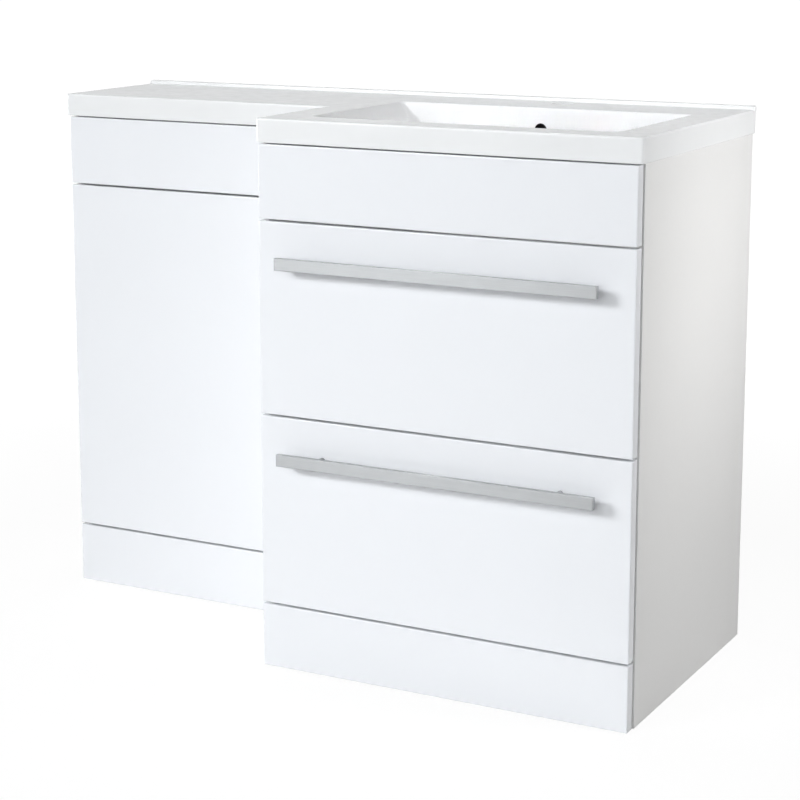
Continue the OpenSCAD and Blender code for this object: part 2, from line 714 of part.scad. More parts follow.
module vanity_fascia() color("white") difference() {
  front_board(fv0, fv1, y_front, z_fas0, z_fas1);
  clip_cuts(clips_vf, true);
}

module vanity_plinth() color("white") difference() {
  front_board(fv0, fv1, y_front, 0, plinth_h);
  clip_cuts(clips_vp, true);
}

// WC cabinet

module wc_side_left() color("white") difference() {
  slab(xw0, xw_in0, yw_c, y_back, 0, z_cab);
  side_cuts(cams_w, dowels_w, 1);
  bracket_cuts(xw_in0, 1);
}

module wc_side_right() color("white") difference() {
  slab(xw_in1, xw1, yw_c, y_back, 0, z_cab);
  side_cuts(cams_w, dowels_w, -1);
  link_cuts();
  bracket_cuts(xw_in1, -1);
}

module wc_front_rail() color("white") difference() {
  slab(xw_in0, xw_in1, yw_c, yw_c + board_t, zw_top0, z_cab);
  end_cuts(cams_w_front, dowels_w_front);
  clip_cuts(clips_wf, false);
  clip_cuts(clips_wa, false);
}

module wc_back_rail_top() color("white") difference() {
  slab(xw_in0, xw_in1, y_back - board_t, y_back, zt0, z_cab);
  end_cuts(cams_w_top, dowels_w_top);
}

module wc_back_rail_low() color("white") difference() {
  slab(xw_in0, xw_in1, y_back - board_t, y_back, zb0, zb1);
  end_cuts(cams_w_low, dowels_w_low);
}

module wc_plinth_rail() color("white") difference() {
  slab(xw_in0, xw_in1, yw_c, yw_c + board_t, 0, wc_low_rail_h);
  end_cuts(cams_w_plinth, dowels_w_plinth);
  clip_cuts(clips_wp, false);
  clip_cuts(clips_wa, false);
}

module wc_fascia() color("white") difference() {
  front_board(fw0, fw1, y_wc, z_fas0, z_fas1);
  clip_cuts(clips_wf, true);
}

module wc_access_panel() color("white") difference() {
  front_board(fw0, fw1, y_wc, z_low0, z_fas0 - front_gap);
  clip_cuts(clips_wa, true);
}

module wc_plinth() color("white") difference() {
  front_board(fw0, fw1, y_wc, 0, plinth_h);
  clip_cuts(clips_wp, true);
}

// Fittings of the carcasses

// A cam disc with a cross slot in its face and a bore for the bolt's end
module cam(e) {
  c = [e[0] + e[1] * cam_in, e[2], e[3]];
  difference() {
    rod(c + e[4] * (board_t / 2 - cam_h), e[4], cam_d, cam_h);
    rod(c, [-e[1], 0, 0], bolt_d + 2 * cam_play, cam_d);
    translate(c + e[4] * (board_t / 2)) face(e[4]) {
      cube([cam_slot_l, cam_slot_w, 2 * cam_slot_t], center = true);
      cube([cam_slot_w, cam_slot_l, 2 * cam_slot_t], center = true);
    }
  }
}

module carcass_cams() color("silver") {
  for (e = concat(cams_v, cams_w)) cam(e);
}

module carcass_cam_bolts() color("silver") {
  for (e = concat(cams_v, cams_w)) {
    rod([e[0], e[2], e[3]], [e[1], 0, 0], bolt_d, cam_in);
    rod([e[0] + e[1] * eps, e[2], e[3]], [-e[1], 0, 0], bolt_thread_d, bolt_in + eps);
  }
}

module carcass_dowels() color("burlywood") {
  for (e = concat(dowels_v, dowels_w))
    rod([e[0] - e[1] * dowel_in, e[2], e[3]], [e[1], 0, 0], dowel_d, dowel_in + dowel_out);
}

module panel_clips() color("whitesmoke") {
  for (c = concat(clips_vf, clips_vp, clips_wf, clips_wa, clips_wp)) union() {
    rod([c[0], c[1] + front_t - clip_pin_l, c[2]], into, clip_pin_d, 2 * clip_pin_l + front_standoff);
    rod([c[0], c[1] + front_t, c[2]], into, clip_collar_d, front_standoff);
  }
}

module drawer_buffers() color("gainsboro") {
  for (x = [xv0 + board_t / 2, xv1 - board_t / 2])
    for (z = [z_low0 + buffer_in, z_low1 - buffer_in, z_up0 + buffer_in, z_up1 - buffer_in])
      rod([x, yv_c, z], out, buffer_d, front_standoff - buffer_gap);
}

module link_sleeves() color("silver") {
  for (p = links) difference() {
    union() {
      rod([xv_in0, p[0], p[1]], [1, 0, 0], link_head_d, link_head_t);
      rod([xv_in0 + eps, p[0], p[1]], [-1, 0, 0], sleeve_d, 2 * board_t - sleeve_short);
    }
    rod([xw_in1, p[0], p[1]], [1, 0, 0], link_d, 2 * board_t - sleeve_cap);
  }
}

module link_screws() color("silver") {
  for (p = links) union() {
    rod([xw_in1, p[0], p[1]], [-1, 0, 0], link_head_d, link_head_t);
    rod([xw_in1 - eps, p[0], p[1]], [1, 0, 0], sleeve_d, sleeve_short);
    rod([xw_in1, p[0], p[1]], [1, 0, 0], link_d, 2 * board_t - sleeve_cap);
  }
}

module wall_brackets() color("silver") {
  for (b = brackets) {
    x = b[0];
    dir = b[1];
    difference() {
      union() {
        slab(min(x, x + dir * bracket_t), max(x, x + dir * bracket_t),
          y_back - bracket_side_l, y_back, bracket_z - bracket_h / 2, bracket_z + bracket_h / 2);
        slab(min(x, x + dir * bracket_wall_l), max(x, x + dir * bracket_wall_l),
          y_back - bracket_t, y_back, bracket_z - bracket_h / 2, bracket_z + bracket_h / 2);
      }
      rod([x + dir * bracket_hole_in, y_back - bracket_t - 1, bracket_z], into, bracket_hole_d,
        bracket_t + 2, curve);
      for (z = bracket_screw_zs)
        rod([x - dir, bracket_screw_y, z], [dir, 0, 0], screw_d, bracket_t + 2);
    }
  }
}

// The screws of the brackets and of the runner rails are alike but for the metal they pass through
module wood_screws() color("silver") {
  for (b = brackets) for (z = bracket_screw_zs)
    screw([b[0] + b[1] * bracket_t, bracket_screw_y, z], [-b[1], 0, 0], screw_l + bracket_t);
  for (z0 = [low_rail, up_rail]) {
    rail_screw_row(z0);
    to_right() rail_screw_row(z0);
  }
}

// A round-headed wood screw with its head's underside at p, pointing along v
module screw(p, v, l) {
  union() {
    rod(p - v * screw_head_t, v, screw_head_d, screw_head_t);
    rod(p - v * eps, v, screw_d, l + eps);
  }
}

// Runners. The rail is fixed to the carcass and carries the front roller. The track carries the
// drawer and the rear roller, which runs inside the rail's channel.

module stub_axle(x, y, z, dir) {
  reach = roller_play + roller_w + head_gap;
  rod([x - dir * steel_t / 2, y, z], [dir, 0, 0], axle_d, steel_t / 2 + reach + axle_head_t);
  rod([x + dir * reach, y, z], [dir, 0, 0], axle_d + 2 * axle_head_rim, axle_head_t);
}

module rail(z0) {
  union() {
    difference() {
      slab(xv_in0, web_x, rail_y0, rail_y1, z0, z0 + rail_h);
      for (y = rail_screw_ys) rod([xv_in0 - 1, y, z0 + rail_screw_z], [1, 0, 0], screw_d, steel_t + 2);
    }
    slab(web_x, web_x + flange_w, rail_y0, rail_y1, z0, z0 + steel_t);
    slab(web_x, web_x + flange_w, rail_y0 + rail_notch, rail_y1, z0 + rail_h - steel_t, z0 + rail_h);
    stub_axle(web_x, front_roller_y, z0 + front_roller_z, 1);
  }
}

module track(z0) {
  union() {
    slab(track_web_x, box_x0, track_y0, track_y1, z0 + track_foot, z0 + track_z1);
    slab(track_web_x - flange_w, box_x0, track_y0, track_y1, z0 + track_z1 - steel_t, z0 + track_z1);
    slab(track_web_x, box_x0 + box_t - track_foot_in, track_y0, track_y1, z0 + track_foot, z0 + foot_top);
    stub_axle(track_web_x, rear_roller_y, z0 + rear_roller_z, -1);
  }
}

// A roller with its bore, beside the web at x, on the side that dir points to
module roller(x, y, z, dir) {
  difference() {
    rod([x + dir * roller_play, y, z], [dir, 0, 0], roller_d, roller_w, curve);
    rod([x, y, z], [dir, 0, 0], axle_d + 2 * axle_play, roller_w + roller_play + 1);
  }
}

module front_pair(z0) {
  roller(web_x, front_roller_y, z0 + front_roller_z, 1);
  to_right() roller(web_x, front_roller_y, z0 + front_roller_z, 1);
}

module rear_pair(z0) {
  roller(track_web_x, rear_roller_y, z0 + rear_roller_z, -1);
  to_right() roller(track_web_x, rear_roller_y, z0 + rear_roller_z, -1);
}

module rail_screw_row(z0) {
  for (y = rail_screw_ys) screw([web_x, y, z0 + rail_screw_z], [-1, 0, 0], screw_l + steel_t);
}

low_rail = low_z - foot_top;
up_rail = up_z - foot_top;

module upper_rail_left() color("gainsboro") rail(up_rail);

module upper_rail_right() color("gainsboro") to_right() rail(up_rail);

module lower_rail_left() color("gainsboro") rail(low_rail);

module lower_rail_right() color("gainsboro") to_right() rail(low_rail);

module upper_front_rollers() color("ivory") front_pair(up_rail);

module upper_rear_rollers() color("ivory") rear_pair(up_rail);

module lower_front_rollers() color("ivory") front_pair(low_rail);

module lower_rear_rollers() color("ivory") rear_pair(low_rail);

module upper_track_left() color("gainsboro") track(up_rail);

module upper_track_right() color("gainsboro") to_right() track(up_rail);

module lower_track_left() color("gainsboro") track(low_rail);

module lower_track_right() color("gainsboro") to_right() track(low_rail);

// Drawer boxes, z0 at the lower edge of their sides

function pin_zs(z0) = [for (k = [0, 0.5, 1]) z0 + pin_low + k * (box_h - pin_low - pin_high)];

// Dowels of the left side: into the front, and from the side into the back's end
module left_pins(z0) {
  for (z = pin_zs(z0)) {
    rod([box_x0 + box_t / 2, box_y0 - pin_in, z], into, pin_d, pin_in + pin_out);
    rod([box_x0 + box_t - pin_in, box_y1 - box_t / 2, z], [1, 0, 0], pin_d, pin_in + pin_out);
  }
}

module both_pins(z0) {
  left_pins(z0);
  to_right() left_pins(z0);
}

module box_side(z0) {
  difference() {
    slab(box_x0, box_x0 + box_t, box_y0, box_y1, z0, z0 + box_h);
    slab(box_x0 + box_t - groove_d, box_x0 + box_t + 1, box_y0 - 1, box_y1 + 1,
      z0 + groove_z, z0 + groove_z + bottom_t);
    left_pins(z0);
  }
}

module box_back(x0, x1, z0) {
  difference() {
    slab(x0, x1, box_y1 - box_t, box_y1, z0 + groove_z + bottom_t, z0 + box_h);
    both_pins(z0);
  }
}

module box_bottom(z0) {
  slab(box_x0 + box_t - groove_d, box_x1 - box_t + groove_d, box_y0 - groove_d, box_y1,
    z0 + groove_z, z0 + groove_z + bottom_t);
}

module drawer_front(z_front, z0) {
  hz = z_front + drawer_front_h - handle_drop;
  difference() {
    front_board(fv0, fv1, y_front, z_front, z_front + drawer_front_h);
    slab(box_x0 + box_t - groove_d, box_x1 - box_t + groove_d, box_y0 - groove_d, box_y0 + 1,
      z0 + groove_z, z0 + groove_z + bottom_t);
    both_pins(z0);
    for (x = [xv_mid - post_pitch / 2, xv_mid + post_pitch / 2])
      rod([x, y_front - 1, hz], into, handle_screw_d, front_t + 2);
  }
}

module handle_bar(z_front) {
  hz = z_front + drawer_front_h - handle_drop;
  slab(xv_mid - handle_w / 2, xv_mid + handle_w / 2, y_front - handle_out, y_front - handle_reach,
    hz - handle_h / 2, hz + handle_h / 2);
}

module handle_posts(z_front) {
  hz = z_front + drawer_front_h - handle_drop;
  for (x = [xv_mid - post_pitch / 2, xv_mid + post_pitch / 2]) difference() {
    rod([x, y_front - handle_reach, hz], into, post_d, handle_reach, curve);
    rod([x, y_front + 1, hz], out, handle_screw_d, handle_screw_in + 1);
  }
}

module handle_screws(z_front) {
  hz = z_front + drawer_front_h - handle_drop;
  for (x = [xv_mid - post_pitch / 2, xv_mid + post_pitch / 2]) union() {
    rod([x, box_y0, hz], into, handle_head_d, handle_head_t);
    rod([x, box_y0 + eps, hz], out, handle_screw_d, front_t + handle_screw_in + eps);
  }
}

// Outline of the trap recess, open at the drawer's back, grown outwards by g
module trap_outline(g, back) {
  r = trap_r + g;
  polygon(concat([[trap_x1 + g, back], [trap_x0 - g, back]],
    arc(trap_x0 - g + r, trap_y0 - g + r, r, 180, 8), arc(trap_x1 + g - r, trap_y0 - g + r, r, 270, 8)));
}

module upper_front() color("white") drawer_front(z_up0, up_z);

module upper_side_left() color("white") box_side(up_z);

module upper_side_right() color("white") to_right() box_side(up_z);

module upper_back_left() color("white") box_back(box_x0 + box_t, trap_x0 - trap_t, up_z);

module upper_back_right() color("white") box_back(trap_x1 + trap_t, box_x1 - box_t, up_z);

module upper_bottom() color("white") difference() {
  box_bottom(up_z);
  translate([0, 0, up_z + groove_z - 1]) linear_extrude(bottom_t + 2) trap_outline(trap_t, box_y1 + 1);
}

// The moulded surround stands in the bottom's cut-out, with a foot flange on the bottom
module trap_surround() color("lightgray") difference() {
  union() {
    translate([0, 0, up_z + groove_z]) linear_extrude(box_h - groove_z) trap_outline(trap_t, box_y1);
    translate([0, 0, up_z + groove_z + bottom_t]) linear_extrude(trap_foot_t)
      trap_outline(trap_t + trap_foot, box_y1 - box_t);
  }
  translate([0, 0, up_z - 1]) linear_extrude(box_h + 2) trap_outline(0, box_y1 + 1);
}

module upper_dowels() color("burlywood") both_pins(up_z);

module upper_handle_bar() color("silver") handle_bar(z_up0);

module upper_handle_posts() color("silver") handle_posts(z_up0);

module upper_handle_screws() color("silver") handle_screws(z_up0);

module lower_front() color("white") drawer_front(z_low0, low_z);

module lower_side_left() color("white") box_side(low_z);

module lower_side_right() color("white") to_right() box_side(low_z);

module lower_back() color("white") box_back(box_x0 + box_t, box_x1 - box_t, low_z);

module lower_bottom() color("white") box_bottom(low_z);

module lower_dowels() color("burlywood") both_pins(low_z);

module lower_handle_bar() color("silver") handle_bar(z_low0);

module lower_handle_posts() color("silver") handle_posts(z_low0);

module lower_handle_screws() color("silver") handle_screws(z_low0);

basin_top();
vanity_side_left();
vanity_side_right();
vanity_base();
vanity_front_rail();
vanity_back_rail_top();
vanity_back_rail_low();
vanity_plinth_rail();
vanity_fascia();
vanity_plinth();
wc_side_left();
wc_side_right();
wc_front_rail();
wc_back_rail_top();
wc_back_rail_low();
wc_plinth_rail();
wc_fascia();
wc_access_panel();
wc_plinth();
carcass_cams();
carcass_cam_bolts();
carcass_dowels();
panel_clips();
drawer_buffers();
link_sleeves();
link_screws();
wall_brackets();
wood_screws();
upper_rail_left();
upper_rail_right();
lower_rail_left();
lower_rail_right();
upper_front_rollers();
upper_rear_rollers();
lower_front_rollers();
lower_rear_rollers();
upper_front();
upper_side_left();
upper_side_right();
upper_back_left();
upper_back_right();
upper_bottom();
trap_surround();
upper_dowels();
upper_track_left();
upper_track_right();
upper_handle_bar();
upper_handle_posts();
upper_handle_screws();
lower_front();
lower_side_left();
lower_side_right();
lower_back();
lower_bottom();
lower_dowels();
lower_track_left();
lower_track_right();
lower_handle_bar();
lower_handle_posts();
lower_handle_screws();
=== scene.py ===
"""Looks of a freestanding bathroom unit: drawer cabinet, WC cabinet and cast basin top."""
import math

import bmesh
import bpy
import numpy as np
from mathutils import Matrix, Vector


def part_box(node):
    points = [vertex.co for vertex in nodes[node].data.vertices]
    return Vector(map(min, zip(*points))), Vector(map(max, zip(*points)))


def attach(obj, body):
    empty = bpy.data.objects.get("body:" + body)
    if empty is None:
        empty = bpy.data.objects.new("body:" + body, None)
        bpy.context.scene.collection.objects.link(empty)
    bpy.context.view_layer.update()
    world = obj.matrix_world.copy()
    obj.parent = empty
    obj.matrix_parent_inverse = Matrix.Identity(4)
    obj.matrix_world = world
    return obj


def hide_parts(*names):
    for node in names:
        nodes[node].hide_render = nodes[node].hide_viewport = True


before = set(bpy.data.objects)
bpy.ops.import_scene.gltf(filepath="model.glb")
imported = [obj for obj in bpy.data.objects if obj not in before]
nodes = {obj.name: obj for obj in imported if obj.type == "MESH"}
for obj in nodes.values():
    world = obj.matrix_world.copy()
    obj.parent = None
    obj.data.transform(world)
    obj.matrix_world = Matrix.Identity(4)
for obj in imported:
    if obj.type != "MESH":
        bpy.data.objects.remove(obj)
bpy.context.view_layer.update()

bl_info = {
    "name": "Bathroom unit looks",
    "version": (1, 0, 0),
    "blender": (4, 5, 0),
    "location": "3D View > Sidebar > Unit",
    "description": "Builds the cast top, fronts, handles, runners and finishes of a bathroom unit",
    "category": "Object",
}

MM = 0.001

MERGE = 2e-6    # points nearer than this, in metres, become one
SHARP = 35.0    # corners sharper than this, in degrees, stay creased
AROUND = 48     # points round a turned part


# ---------------- surfaces

def grid_quads(rows, cols, close=False):
    """Quads between neighbouring points of a grid of rows by cols; close joins the last column
    to the first."""
    index = np.arange(rows * cols).reshape(rows, cols)
    if close:
        index = np.concatenate([index, index[:, :1]], axis=1)
    return np.stack([index[:-1, :-1], index[1:, :-1], index[1:, 1:], index[:-1, 1:]],
                    -1).reshape(-1, 4)


class Shell:
    """Collects point grids and faces of one piece, in millimetres."""

    def __init__(self):
        self.points = []
        self.faces = []
        self.count = 0

    def add(self, points, faces):
        points = np.asarray(points, float).reshape(-1, 3)
        self.faces += (np.asarray(faces) + self.count).tolist()
        self.points.append(points)
        self.count += len(points)

    def add_rings(self, rings):
        """Faces between closed rings of points, each ring joined to the next."""
        rings = np.asarray(rings, float)
        self.add(rings, grid_quads(*rings.shape[:2], close=True))

    def add_cap(self, ring):
        """One flat face over a closed ring of points."""
        self.add(ring, [list(range(len(ring)))])

    def mesh(self, name):
        data = bpy.data.meshes.new(name)
        data.from_pydata((np.concatenate(self.points) * MM).tolist(), [], self.faces)
        return data


def close_mesh(data):
    """Merges doubled points, points the faces outwards and keeps only true corners sharp."""
    work = bmesh.new()
    work.from_mesh(data)
    bmesh.ops.remove_doubles(work, verts=work.verts, dist=MERGE)
    bmesh.ops.dissolve_degenerate(work, edges=work.edges, dist=MERGE / 2)
    bmesh.ops.recalc_face_normals(work, faces=work.faces)
    work.to_mesh(data)
    work.free()
    data.shade_smooth()
    data.set_sharp_from_angle(angle=math.radians(SHARP))
    return data


def corners(name):
    """Lowest and highest corner of a CAD node's box, in millimetres."""
    low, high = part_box(name)
    return np.array(low) / MM, np.array(high) / MM


def new_object(name, data):
    obj = bpy.data.objects.new(name, data)
    bpy.context.scene.collection.objects.link(obj)
    return obj


def closed_piece(name, shell):
    """The shell as an object with a closed mesh."""
    return new_object(name, close_mesh(shell.mesh(name)))


def place(obj, finish, body, replaced):
    """Gives a finished piece its material and its body, and hides the CAD nodes it stands for."""
    obj.data.materials.clear()
    obj.data.materials.append(finish)
    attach(obj, body)
    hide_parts(*replaced)


def arc(start, end, step):
    """Angles from start to end, both included, with step between them, all given in degrees."""
    return np.radians(np.arange(start, end + 0.1, step))


def quarter(count):
    """Angles from 0 to 90 degrees in count steps."""
    return np.linspace(0, math.pi / 2, count + 1)


def rounding(radius, count):
    """A rounded edge as pairs of inset and depth, from the flat face to the side: the inset is
    r(1 - sin a) and the depth r(1 - cos a), for a from 0 to 90 degrees."""
    return [(radius * (1 - math.sin(a)), radius * (1 - math.cos(a))) for a in quarter(count)]


def rounded_ring(x0, x1, z0, z1, radius, count):
    """Closed ring of a rectangle with round corners: each corner is its centre plus radius
    times (cos, sin)."""
    ring = []
    for cx, cz, start in ((x1 - radius, z1 - radius, 0), (x0 + radius, z1 - radius, 90),
                          (x0 + radius, z0 + radius, 180), (x1 - radius, z0 + radius, 270)):
        angle = np.radians(start) + quarter(count)
        ring.append(np.stack([cx + radius * np.cos(angle), cz + radius * np.sin(angle)], -1))
    return np.concatenate(ring)


def rounded_slab(shell, low, high, front_r, back_r, corner_r=1.0, count=6):
    """A board lying against the Y axis, built of rings in XZ along its two rounded edges. The
    corner radius shrinks by the inset, so the corners stay round."""
    (x0, y0, z0), (x1, y1, z1) = low, high
    rim = 1.0    # the end faces begin this far inside the roundings
    profile = [(front_r + rim, y0)]
    profile += [(i, y0 + d) for i, d in rounding(front_r, count)]
    profile += [(i, y1 - d) for i, d in rounding(back_r, count)[::-1]]
    profile += [(back_r + rim, y1)]
    rings = []
    for i, y in profile:
        ring = rounded_ring(x0 + i, x1 - i, z0 + i, z1 - i, max(corner_r - i, 0.01), 4)
        rings.append(np.insert(ring, 1, y, axis=1))
    shell.add_rings(rings)
    shell.add_cap(rings[0])
    shell.add_cap(rings[-1])


def turned(shell, centre, axis, profile):
    """A turned part: the profile's (radius, distance) pairs swept round the axis, 'x' or 'y'."""
    angle = np.linspace(0, 2 * math.pi, AROUND, endpoint=False)
    profile = np.asarray(profile, float)
    radius, along = profile[:, :1], profile[:, 1:]
    one, two = radius * np.cos(angle), radius * np.sin(angle)
    along = along + 0 * one
    order = (along, one, two) if axis == "x" else (two, along, one)
    shell.add_rings(np.stack(order, -1) + np.asarray(centre, float))


# ---------------- sizes and colours

def length(label, note, default, low=0.0):
    """A size in metres, shown in the user's unit."""
    return bpy.props.FloatProperty(name=label, description=note, default=default, min=low,
                                   precision=5, subtype="DISTANCE", unit="LENGTH")


def colour(label, note, default):
    return bpy.props.FloatVectorProperty(name=label, description=note, default=default, size=3,
                                         min=0.0, max=1.0, subtype="COLOR")


class CastTopSizes(bpy.types.PropertyGroup):
    """Sizes of the cast basin top."""
    step_x: length("Step", "Left edge of the deep part, from the unit's middle", -0.052, -1.0)
    wc_front: length("WC front", "Front edge of the shallow part", -0.004, -1.0)
    surface: length("Surface height", "Worktop surface above the floor", 0.840)
    edge: length("Edge height", "Height of the worktop's edge", 0.036)
    edge_round: length("Edge rounding", "Rounding of the upper edges", 0.003)
    corner: length("Corner radius", "Radius of the upright corners", 0.004)
    skirt: length("Skirt", "Thickness of the skirt round the hollow underside", 0.012)
    deck: length("Deck", "Thickness of the deck", 0.014)
    bowl_left: length("Bowl left", "Left edge of the bowl's opening", 0.0065, -1.0)
    bowl_right: length("Bowl right", "Right edge of the bowl's opening", 0.4965)
    bowl_front: length("Bowl front", "Front edge of the bowl's opening", -0.164, -1.0)
    bowl_back: length("Bowl back", "Back edge of the bowl's opening", 0.126, -1.0)
    bowl_depth: length("Bowl depth", "Depth of the bowl", 0.110)
    side_run: length("Side run", "How far the bowl's side walls run in", 0.092)
    front_run: length("Front run", "How far the bowl's front wall runs in", 0.040)
    back_run: length("Back run", "How far the bowl's back wall runs in", 0.008)
    fillet: length("Floor fillet", "Fillet between the bowl's walls and floor", 0.028)
    rim_corner: length("Rear rim corners", "Radius of the bowl's rear corners at the rim", 0.006)
    front_corner: length("Front rim corners", "Radius of the bowl's front corners at the rim",
                         0.020)
    floor_corner: length("Floor corner", "Corner radius at the floor", 0.040)
    wall: length("Bowl wall", "Thickness of the bowl's shell", 0.010)
    tap_y: length("Tap hole place", "Place of the tap hole, front to back", 0.207)
    tap_hole: length("Tap hole", "Radius of the tap hole", 0.0175)
    waste_hole: length("Waste hole", "Radius of the waste hole", 0.023)
    overflow: length("Overflow", "Radius of the overflow hole", 0.011)
    overflow_drop: length("Overflow drop", "Overflow's centre below the surface", 0.035)


class FrontSizes(bpy.types.PropertyGroup):
    """Sizes of the fronts and handles."""
    edge_round: length("Front rounding", "Rounding of the fronts' edges towards the room", 0.0015)
    bar_round: length("Bar rounding", "Rounding of the handle bars' edges", 0.0006)
    post_round: length("Post rounding", "Rounding at the ends of the handle posts", 0.0006)


class Finishes(bpy.types.PropertyGroup):
    """Colours of the unit's materials."""
    cast: colour("Cast top", "White gel coat of the cast top", (0.88, 0.888, 0.893))
    front: colour("Fronts", "Gloss white of the fronts", (0.885, 0.899, 0.928))
    carcass: colour("Carcass", "White melamine of the carcass", (0.80, 0.795, 0.785))
    drawer: colour("Drawer boxes", "White melamine of the drawer boxes", (0.80, 0.80, 0.79))
    handle: colour("Handles", "Satin aluminium of the handles", (0.340, 0.347, 0.353))
    zinc: colour("Zinc", "Zinc plating of the fittings", (0.56, 0.57, 0.58))
    runner: colour("Runners", "Coated steel of the runners", (0.80, 0.80, 0.78))
    roller: colour("Rollers", "Plastic of the rollers", (0.82, 0.81, 0.76))
    surround: colour("Trap surround", "Grey plastic of the trap recess", (0.47, 0.48, 0.49))
    clip: colour("Clips", "White plastic of the panel clips", (0.83, 0.83, 0.82))
    buffer: colour("Buffers", "Soft grey of the buffers", (0.62, 0.63, 0.63))
    dowel: colour("Dowels", "Raw beech of the dowels", (0.60, 0.44, 0.28))


# ---------------- materials

class Nodes:
    """Adds nodes to the tree of a material or of the world."""

    def __init__(self, tree):
        self.tree = tree
        tree.nodes.clear()

    def fill(self, socket, value):
        """Links another node's output to a socket, or sets it to a number, vector or colour."""
        if isinstance(value, bpy.types.NodeSocket):
            self.tree.links.new(value, socket)
        else:
            socket.default_value = (*value, 1.0) if socket.type == "RGBA" else value

    def node(self, kind, *ordered, **named):
        """A new node with its inputs given in their order or by their names."""
        made = self.tree.nodes.new("ShaderNode" + kind)
        for socket, value in zip(made.inputs, ordered):
            self.fill(socket, value)
        for key, value in named.items():
            self.fill(made.inputs[key.replace("_", " ")], value)
        return made

    def maths(self, how, *values):
        made = self.node("Math")
        made.operation = how
        for socket, value in zip(made.inputs, values):
            self.fill(socket, value)
        return made.outputs[0]

    def ranged(self, value, from_min, from_max, to_min, to_max):
        """Carries one range of a value over to another and stops at its ends."""
        return self.node("MapRange", Value=value, From_Min=from_min, From_Max=from_max,
                         To_Min=to_min, To_Max=to_max).outputs[0]


class Recipe(Nodes):
    """A node material being built, with its shader and Object coordinates at hand."""

    def __init__(self, name, base, roughness, metallic=0.0, coat=0.0):
        self.material = bpy.data.materials.get(name) or bpy.data.materials.new(name)
        self.material.use_nodes = True
        self.material.diffuse_color = (*base, 1.0)
        super().__init__(self.material.node_tree)
        self.out = self.node("OutputMaterial")
        self.shader = self.node("BsdfPrincipled", Base_Color=base, Roughness=roughness,
                                Metallic=metallic, Coat_Weight=coat)
        self.fill(self.out.inputs[0], self.shader.outputs[0])
        self.where = self.node("TexCoord").outputs["Object"]

    def set(self, socket, value):
        """Sets or links one of the shader's own sockets."""
        self.fill(self.shader.inputs[socket], value)

    def stretched(self, scale):
        """Object coordinates with their own scale along each axis."""
        return self.node("Mapping", Vector=self.where, Scale=scale).outputs[0]

    def noise(self, scale, detail=2.0, where=None):
        return self.node("TexNoise", Vector=where or self.where, Scale=scale,
                         Detail=detail).outputs[0]

    def between(self, value, low, high):
        """Carries 0.3 to 0.7 of a noise, where nearly all of it lies, over to a range."""
        return self.ranged(value, 0.3, 0.7, low, high)

    def tint(self, value, one, two):
        """Mixes two colours, or a colour and a coloured output, by a value."""
        made = self.node("Mix")
        made.data_type = "RGBA"
        for socket, given in ((0, value), (6, one), (7, two)):
            self.fill(made.inputs[socket], given)
        return made.outputs[2]

    def mixed(self, value, one, two):
        """Mixes two numbers by a value."""
        made = self.node("Mix")
        for socket, given in ((0, value), (2, one), (3, two)):
            self.fill(made.inputs[socket], given)
        return made.outputs[0]

    def inside(self, box):
        """1 inside a box given as its lowest and highest corner, 0 outside."""
        split = self.node("SeparateXYZ", Vector=self.where)
        tests = [self.maths(how, split.outputs[axis], corner[axis]) for axis in range(3)
                 for corner, how in zip(box, ("GREATER_THAN", "LESS_THAN"))]
        result = tests[0]
        for test in tests[1:]:
            result = self.maths("MULTIPLY", result, test)
        return result

    def faced(self):
        """The mesh's own value "faced": 1 on the broad faces, 0 on the narrow ones."""
        made = self.node("Attribute")
        made.attribute_name = "faced"
        return made.outputs["Fac"]

    def bump(self, height, strength, distance):
        made = self.node("Bump", Height=height, Strength=strength, Distance=distance)
        self.set("Normal", made.outputs[0])


def shade(base, factor):
    return tuple(c * factor for c in base)


def cast_finish(base, channel):
    """Satin gel coat: a faint cloud in the white under a thin clear coat with a trace of
    waviness. Inside the overflow's channel, a box given as its lowest and highest corner, the
    cast is painted nearly black: painted shade standing in for the shadow deep in the channel."""
    r = Recipe("cast marble gel coat", base, 0.24, coat=0.12)
    r.set("Coat Roughness", 0.16)
    cloud = r.noise(5.0, 3.0)
    white = r.tint(r.between(cloud, 0.0, 1.0), base, shade(base, 0.975))
    # Painted shade: the channel's box is painted nearly black, for the shadow inside it.
    r.set("Base Color", r.tint(r.inside(channel), white, (0.010, 0.010, 0.011)))
    r.set("Roughness", r.between(r.noise(60.0), 0.22, 0.26))
    r.bump(r.noise(18.0, 1.0), 0.03, 0.0004)
    return r.material


def front_finish(base):
    """Gloss foil: orange peel about two millimetres across under a clear coat. The narrow edges,
    where the mesh's own value "faced" is 0, are painted slightly darker: painted shade."""
    r = Recipe("gloss white front", base, 0.22, coat=0.55)
    r.set("Coat Roughness", 0.05)
    # Painted shade: the narrow edges get a base colour 0.84 times the face's.
    r.set("Base Color", r.tint(r.faced(), shade(base, 0.84), base))
    r.set("Roughness", r.between(r.noise(25.0), 0.19, 0.25))
    r.bump(r.noise(420.0, 1.0), 0.06, 0.0002)
    return r.material


def board_finish(name, base, gloss, grain_scale):
    """Melamine: pressed pores under a satin surface, a trace of tone between sheets."""
    r = Recipe(name, base, gloss)
    r.set("Base Color", r.tint(r.between(r.noise(3.0), 0.0, 1.0), base, shade(base, 0.97)))
    r.set("Roughness", r.between(r.noise(140.0), gloss - 0.05, gloss + 0.05))
    r.bump(r.noise(grain_scale, 3.0), 0.12, 0.0002)
    return r.material


